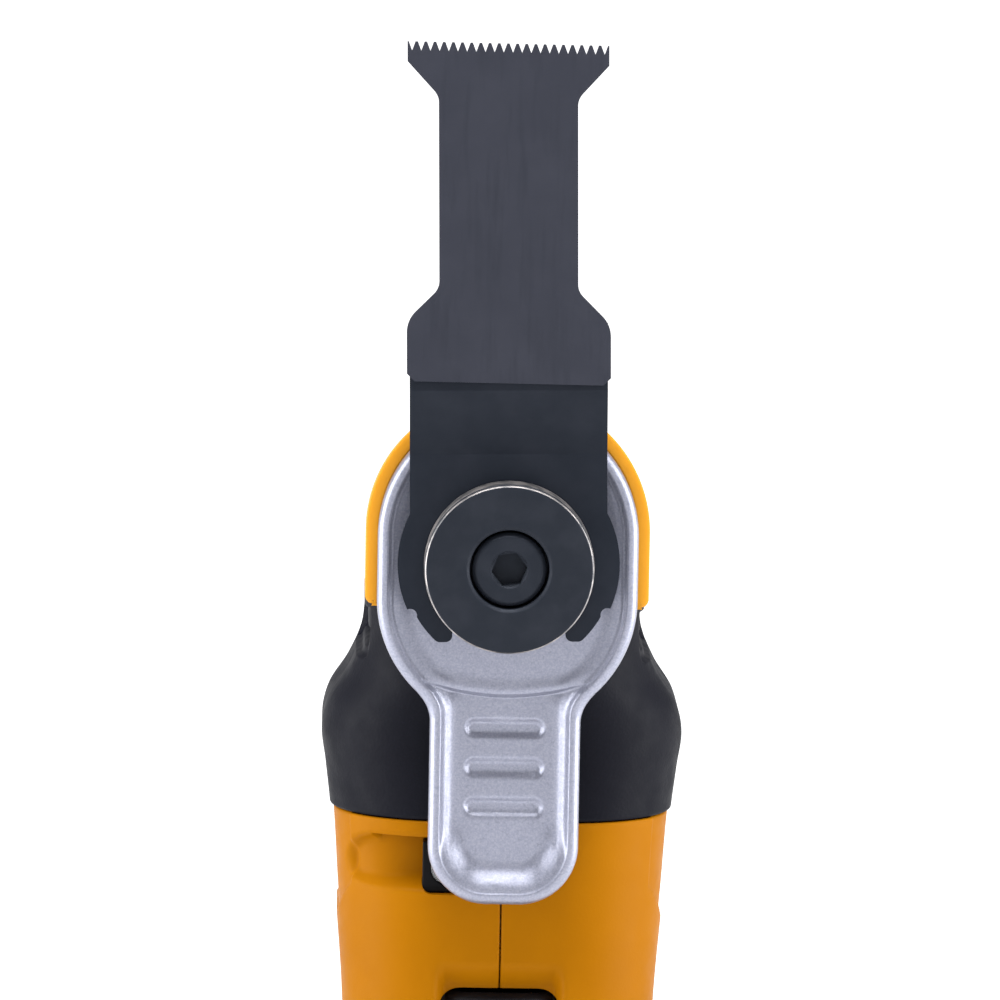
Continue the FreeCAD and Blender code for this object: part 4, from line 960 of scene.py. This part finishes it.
def clamp_lever():
    count = 900
    # directions spaced so that the outline's points are even
    fine = [2 * math.pi * k / 3600 for k in range(3600)]
    reach = [lever_reach(angle, 0.0) for angle in fine]
    points = [(r * math.sin(a), -r * math.cos(a)) for r, a in zip(reach, fine)]
    lengths = [0.0]
    for k in range(3600):
        a, b = points[k], points[(k + 1) % 3600]
        lengths.append(lengths[-1] + math.hypot(b[0] - a[0], b[1] - a[1]))
    angles = []
    k = 0
    for step in range(count):
        want = lengths[-1] * step / count
        while lengths[k + 1] < want:
            k += 1
        angles.append(fine[k] + (want - lengths[k]) / (lengths[k + 1] - lengths[k]) * 2 * math.pi / 3600)
    insets = [0, 0.02, 0.06, 0.13, 0.23, 0.36, 0.52, 0.7, 0.9, 1.15, 1.3, 1.45, 1.6, 1.75, 1.9, 2.1, 2.4,
              2.8, 3.3, 3.9, 4.5]
    rows = [[lever_point(angle, inset) for angle in angles] for inset in insets]
    inner = rows[-1]
    fill = 110
    for k in range(1, fill):
        t = 1 - k / fill
        rows.append([(POLE[0] + (x - POLE[0]) * t, POLE[1] + (z - POLE[1]) * t) for x, z in inner])
    verts = []
    for k, row in enumerate(rows):
        for x, z in row:
            inside = insets[k] if k < len(insets) else lever_inside(x, z)
            verts.append((x, lever_front(x, z, inside), z))
    faces = grid_faces(len(rows), count, wrap=True)
    tip = len(verts)
    verts.append((POLE[0], lever_front(*POLE, 10), POLE[1]))
    last = (len(rows) - 1) * count
    faces += [(last + k, last + (k + 1) % count, tip) for k in range(count)]
    # side wall and back
    wall = [(0.0, 0.15), (0.0, 0.4), (0.0, 0.75), (0.12, 0.93), (0.4, 1.0)]
    base = len(verts)
    for inset, share in wall:
        depth = RIM_Y + LEVER_EDGE + (LEVER_BACK - RIM_Y - LEVER_EDGE) * share
        for angle in angles:
            x, z = lever_point(angle, inset)
            verts.append((x, depth, z))
    faces += [(base + (k + 1) % count, base + k, k, (k + 1) % count) for k in range(count)]
    for r in range(len(wall) - 1):
        start = base + r * count
        faces += [(start + count + (k + 1) % count, start + count + k, start + k, start + (k + 1) % count)
                  for k in range(count)]
    back_tip = len(verts)
    verts.append((POLE[0], LEVER_BACK, POLE[1]))
    start = base + (len(wall) - 1) * count
    faces += [(start + k, start + (k + 1) % count, back_tip) for k in range(count)]
    lever = add_object("lever_plate", verts, faces)
    outward(lever)
    hole_z = SPINDLE_Z + LEVER_HOLE_UP
    carve(lever, [rod("hole_cut", (0, -60, hole_z), (0, -20, hole_z), LEVER_HOLE_R, 128)])
    crisp(lever, 50)
    return settle(lever, "lever", "painted_lever", ["clamp_lever"])


clamp_lever()
pin_low, pin_high = (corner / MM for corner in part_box("lever_pivot_pin"))
pivot = (pin_low + pin_high) / 2
EAR_INNER, PAD_INNER, WEB_INNER, PAD_OUTER = 7.2, 10.9, 15.0, 17.2
ears = []
for sign in (-1, 1):
    inner, outer = sorted((sign * EAR_INNER, sign * pin_high.x))
    ears.append(block("ear_arm", (inner, LEVER_BACK - 0.5, pivot.z - 4), (outer, pivot.y, pivot.z + 4), 0.3))
    ears.append(rod("ear_eye", (inner, pivot.y, pivot.z), (outer, pivot.y, pivot.z), 4))
    pad_low, pad_high = sorted((sign * PAD_INNER, sign * PAD_OUTER))
    ears.append(block("push_pad", (pad_low, -28.7, SPINDLE_Z - 2), (pad_high, -26.5, SPINDLE_Z + 2), 0.3))
    web_low, web_high = sorted((sign * WEB_INNER, sign * PAD_OUTER))
    ears.append(block("push_web", (web_low, LEVER_BACK - 0.5, SPINDLE_Z - 2),
                      (web_high, -27, SPINDLE_Z + 2), 0.3))
settle(joined("lever_ears", ears), "lever", "painted_lever")

# ---- Washer and screw --------------------------------------------------------------------------
washer_low, washer_high = (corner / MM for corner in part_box("clamp_washer"))
WASHER_R = washer_high.x
WASHER_FRONT, WASHER_BACK = washer_low.y, washer_high.y


def washer():
    thick = WASHER_BACK - WASHER_FRONT
    profile = [(3.1, thick), (WASHER_R - 0.5, thick), (WASHER_R, thick - 0.5), (WASHER_R, 1.7),
               (WASHER_R - 0.22, 1.5), (WASHER_R - 0.22, 1.2), (WASHER_R - 0.05, 1.0),
               (WASHER_R - 0.1, 0.35), (WASHER_R - 0.4, 0), (WASHER_R - 1.9, 0.0),
               (6.9, 0), (6.35, 0.4), (6.3, 4.6), (3.1, 4.6), (3.1, thick)]
    disc = lathe("washer_disc", (0, WASHER_FRONT, SPINDLE_Z), rounded_profile(profile, 0.16), 220)
    disc.data.materials.append(FINISHES["black_steel"])
    disc.data.materials.append(EDGE_HIGHLIGHT_FINISH)
    for face in disc.data.polygons:
        centre = face.center / MM
        radius = math.hypot(centre.x, centre.z - SPINDLE_Z)
        along = centre.y - WASHER_FRONT
        # painted highlight: the rim's front chamfer and outer band take the brighter edge steel
        if radius > WASHER_R - 0.3 and (along < 0.5 or 1.7 < along < 4.6):
            face.material_index = 1
    crisp(disc, 28)
    return settle(disc, "clamp", "black_steel", ["clamp_washer"], False)


washer()
screw_low, screw_high = (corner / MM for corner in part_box("clamp_screw"))


def clamp_screw():
    radius = screw_high.x
    head = 4.1
    profile = [(0, 0), (radius - 0.7, 0), (radius, 0.7), (radius, head), (3, head), (3, 13), (0, 13)]
    screw = lathe("socket_screw", (0, screw_low.y, SPINDLE_Z), rounded_profile(profile, 0.3), 120)
    hexagon = []
    flat_radius = 2.5 / math.cos(math.pi / 6)
    for depth in (-2, 2.6):
        for k in range(6):
            angle = math.radians(60 * k + 8)
            hexagon.append((flat_radius * math.cos(angle), screw_low.y + depth,
                            SPINDLE_Z + flat_radius * math.sin(angle)))
    faces = [tuple(range(6)), tuple(range(11, 5, -1))]
    faces += [(k, 6 + k, 6 + (k + 1) % 6, (k + 1) % 6) for k in range(6)]
    key = add_object("key_cut", hexagon, faces, False)
    outward(key)
    mouth = lathe("mouth_cut", (0, screw_low.y, SPINDLE_Z), [(0, -1), (3.9, -1), (2.75, 0.3), (0, 0.3)], 60)
    carve(screw, [key, mouth])
    crisp(screw, 30)
    return settle(screw, "clamp", "black_steel", ["clamp_screw"])


clamp_screw()

# ---- Blade -------------------------------------------------------------------------------------
for node, finish, width in (("blade_cutting_plate", None, 0.1), ("blade_mounting_plate", PLATE_FINISH, 0.15)):
    plate = frame["nodes"][node]
    if finish:
        plate.data.materials[0] = finish
    soften(plate, width, 2)

# ---- Trigger, button, rear grip and battery ----------------------------------------------------


def trigger():
    low, high = (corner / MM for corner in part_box("trigger"))
    rows, columns = 150, 90
    verts = []
    for r in range(rows + 1):
        z = blend(low.z, high.z, r / rows)
        end = min(z - low.z, high.z - z)
        tip = curl(end, 2.2) if end < 2.2 else 0.0
        bulge = 1 - ramp(high.z - 24, high.z, z) * 1.25
        front = low.y + 4.4 * (1 - min(bulge, 1.0)) + 0.5 * math.sin((z - low.z) / 9.0) * 0.5 + 0.25
        half = high.x - tip * 0.5
        for c in range(columns + 1):
            angle = math.pi * c / columns
            x = -half * math.copysign(abs(math.cos(angle)) ** 0.42, math.cos(angle))
            swell = abs(math.sin(angle)) ** 0.42
            y = blend(high.y, front + tip, swell)
            verts.append((x, y, z))
    skin = add_object("trigger_skin", verts, grid_faces(rows + 1, columns + 1, flip=False))
    work = bmesh.new()
    work.from_mesh(skin.data)
    bmesh.ops.holes_fill(work, edges=[edge for edge in work.edges if edge.is_boundary], sides=0)
    bmesh.ops.recalc_face_normals(work, faces=work.faces)
    work.to_mesh(skin.data)
    work.free()
    crisp(skin, 45)
    return settle(skin, "trigger", "black_plastic", ["trigger"])


trigger()


def lock_button():
    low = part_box("lock_button")[0] / MM
    spot = middle("lock_button")
    profile = [(0, 0), (3.6, 0), (4.45, 0.7), (4.45, 7), (5.5, 7), (5.5, 8.1), (0, 8.1)]
    button = lathe("button_cap", (0, 0, 0), rounded_profile(profile, 0.5), 96)
    turn = Matrix.Rotation(-math.pi / 2, 4, "Z")
    button.data.transform(turn)
    button.data.transform(Matrix.Translation(Vector((low.x, spot.y, spot.z)) * MM))
    crisp(button, 35)
    return settle(button, "lock_button", "black_plastic", ["lock_button"])


lock_button()


def rear_grip():
    low, high = (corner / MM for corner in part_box("rear_grip"))
    verts = []
    rows = heights(low.z + 0.4, high.z - 0.4, 0.5)
    columns = 130
    for z in rows:
        half, front, back, corner = interpolate(CASING, z)
        length = half_length(half, front, back, corner)
        reach = high.x - 0.3
        ends = curl(min(z - rows[0], rows[-1] - z), 1.6) if min(z - rows[0], rows[-1] - z) < 1.6 else 0
        for c in range(columns + 1):
            across = -reach + 2 * reach * c / columns
            x, y, out_x, out_y = section_point(half, front, back, corner, length - abs(across) * 1.06)
            side = -1 if across < 0 else 1
            edge = reach - abs(across)
            proud = 0.35 - ends - (curl(edge, 1.2) if edge < 1.2 else 0)
            # raised bars across the pad
            bar = 0.5 + 0.5 * math.cos((z - low.z) / 5.2 * 2 * math.pi)
            proud += 0.3 * ramp(0.35, 0.75, bar) * (1 - ramp(reach - 5, reach - 3.4, abs(across))) \
                * ramp(low.z + 7, low.z + 9, z) * (1 - ramp(high.z - 9, high.z - 7, z))
            verts.append(((x + out_x * proud) * side, y + out_y * proud, z))
    pad = add_object("rear_pad", verts, grid_faces(len(rows), columns + 1, flip=False))
    thick = pad.modifiers.new("thick", "SOLIDIFY")
    thick.thickness = 1.2 * MM
    thick.offset = -1
    bake(pad)
    outward(pad)
    crisp(pad, 60)
    return settle(pad, "body", "black_rubber", ["rear_grip"])


rear_grip()


# half width, front, back, corner radius
PACK_OUTLINE = (37.5, -62.0, 50.0, 9.0)


def pack_surface(name, low, high, shape):
    """A closed tub or cap: rounded rectangle outline with an inset for every height."""
    half, front, back, corner = PACK_OUTLINE
    rows = heights(low, high, 0.8)
    steps = [k / 300 for k in range(300)]
    verts = []
    for z in rows:
        for step in steps:
            share = step * 2
            side = 1 if share < 1 else -1
            along = share if share < 1 else 2 - share
            length = half_length(half, front, back, corner)
            x, y, out_x, out_y = section_point(half, front, back, corner, along * length)
            push = shape(x * side, y, z)
            verts.append(((x - out_x * push) * side, y - out_y * push, z))
    faces = grid_faces(len(rows), len(steps), wrap=True)
    faces.append(tuple(range(len(steps) - 1, -1, -1)))
    top = (len(rows) - 1) * len(steps)
    faces.append(tuple(range(top, top + len(steps))))
    thing = add_object(name, verts, faces)
    outward(thing)
    return thing


base_low, base_high = (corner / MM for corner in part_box("battery_base_shell"))
top_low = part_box("battery_top_shell")[0] / MM
PACK_TOP = 48.0
CONTACT_PITCH = 8.8
gauge = middle("gauge_button")


def base_shape(x, y, z):
    push = curl(z - base_low.z, 3.0) if z - base_low.z < 3 else 0.0
    top = base_high.z - z
    push += curl(top, 0.5) if top < 0.5 else 0.0
    # upright finger ribs on both long sides
    rib = 0.5 + 0.5 * math.cos(y / 4.4 * 2 * math.pi)
    push += (0.55 * ramp(0.4, 0.7, rib) * ramp(7, 9, z) * (1 - ramp(21, 23, z))
             * (1 - ramp(24, 27, abs(y + 6))))
    return push


def top_shape(x, y, z):
    top = PACK_TOP - z
    push = curl(top, 2.2) if top < 2.2 else 0.0
    low = z - top_low.z
    push += curl(low, 0.5) if low < 0.5 else 0.0
    return push


def contact_slots():
    """The four slots that the tool's blades slide into."""
    return [block("slot_cut", (-14.7 + CONTACT_PITCH * k, 18.4, 43), (-11.3 + CONTACT_PITCH * k, 33, 64))
            for k in range(4)]


def battery():
    tub = pack_surface("pack_tub", base_low.z, base_high.z, base_shape)
    carve(tub, [rod("gauge_cut", (gauge.x, -80, gauge.z), (gauge.x, -58.6, gauge.z), 3.4),
                block("tub_cut", (-35, -59.5, 3), (35, 47.5, 40), 4)])
    crisp(tub, 40)
    settle(tub, "battery", "black_plastic", ["battery_base_shell"])
    cap = pack_surface("pack_cap", top_low.z, PACK_TOP, top_shape)
    carve(cap, [block("cap_cut", (-35, -59.5, 10), (35, 47.5, 45.5), 4),
                block("latch_cut", (-12.4, -70, 26), (12.4, -50.8, 42.6)),
                block("tooth_cut", (-8.4, -56.6, 38), (8.4, -51.2, 60))])
    crisp(cap, 40)
    tower = block("pack_tower", (-22, -46, PACK_TOP - 1.2), (22, 30, 61.4), 0.7)
    rails = block("pack_rails", (-25.2, -46, 56), (25.2, 30, 61.4), 0.7)
    for thing in (tower, rails):
        carve(thing, contact_slots())
        crisp(thing, 40)
        settle(thing, "battery", "black_plastic")
    settle(cap, "battery", "black_plastic", ["battery_top_shell"])


battery()
for node in ("battery_latch", "gauge_button"):
    soften(frame["nodes"][node], 0.5, 3)
for node in ("terminal_block", "switch_module", "work_light_bezel", "gear_case", "spindle"):
    soften(frame["nodes"][node], 0.25, 2)

# ---- Studio ------------------------------------------------------------------------------------
floor = add_object("floor", [(-14000, -14000, 0), (14000, -14000, 0), (14000, 14000, 0), (-14000, 14000, 0)],
                   [(0, 1, 2, 3)], False)
floor.data.materials.append(studio_floor())

world = bpy.data.worlds.new("studio")
bpy.context.scene.world = world
world.use_nodes = True
world.node_tree.nodes["Background"].inputs["Color"].default_value = (1, 1, 1, 1)
world.node_tree.nodes["Background"].inputs["Strength"].default_value = 0.4


def softbox(name, place, aim, width, tall, power):
    light = bpy.data.lights.new(name, "AREA")
    light.shape = "RECTANGLE"
    light.size, light.size_y = width, tall
    light.energy = power
    lamp = linked(name, light)
    lamp.location = Vector(place)
    lamp.rotation_mode = "QUATERNION"
    lamp.rotation_quaternion = (Vector(aim) - Vector(place)).to_track_quat("-Z", "Y")


head = (0, 0, SPINDLE_Z * MM)
softbox("top_light", (0, -0.25, 1.05), head, 0.8, 0.5, 13)
softbox("left_light", (-0.85, -0.12, 0.42), head, 0.6, 0.8, 11)
softbox("right_light", (0.85, -0.12, 0.42), head, 0.6, 0.8, 11)
softbox("front_light", (0.2, -1.7, 0.8), head, 0.7, 0.7, 2)

# ---- Camera ------------------------------------------------------------------------------------
# a long lens, looking a little down on the head, with the tool leaning slightly in the frame
DISTANCE, ELEVATION, AZIMUTH, ROLL, FOCAL = 1.4, 6.8, -1.1, 1.02, 8.689
camera_data = bpy.data.cameras.new("camera")
camera_data.sensor_width = 36
camera_data.lens = 36 * FOCAL
camera = linked("camera", camera_data)
bpy.context.scene.camera = camera
aim = Vector((-0.0014, -0.03, (SPINDLE_Z + 9.2) * MM))
tilt, swing = math.radians(ELEVATION), math.radians(AZIMUTH)
back = Vector((math.sin(swing) * math.cos(tilt), -math.cos(swing) * math.cos(tilt), math.sin(tilt)))
camera.location = aim + back * DISTANCE
camera.rotation_mode = "QUATERNION"
roll = Matrix.Rotation(math.radians(ROLL), 3, "Z").to_quaternion()
camera.rotation_quaternion = (-back).to_track_quat("-Z", "Y") @ roll
camera_data.clip_end = 100

bpy.context.scene.view_settings.view_transform = "Standard"
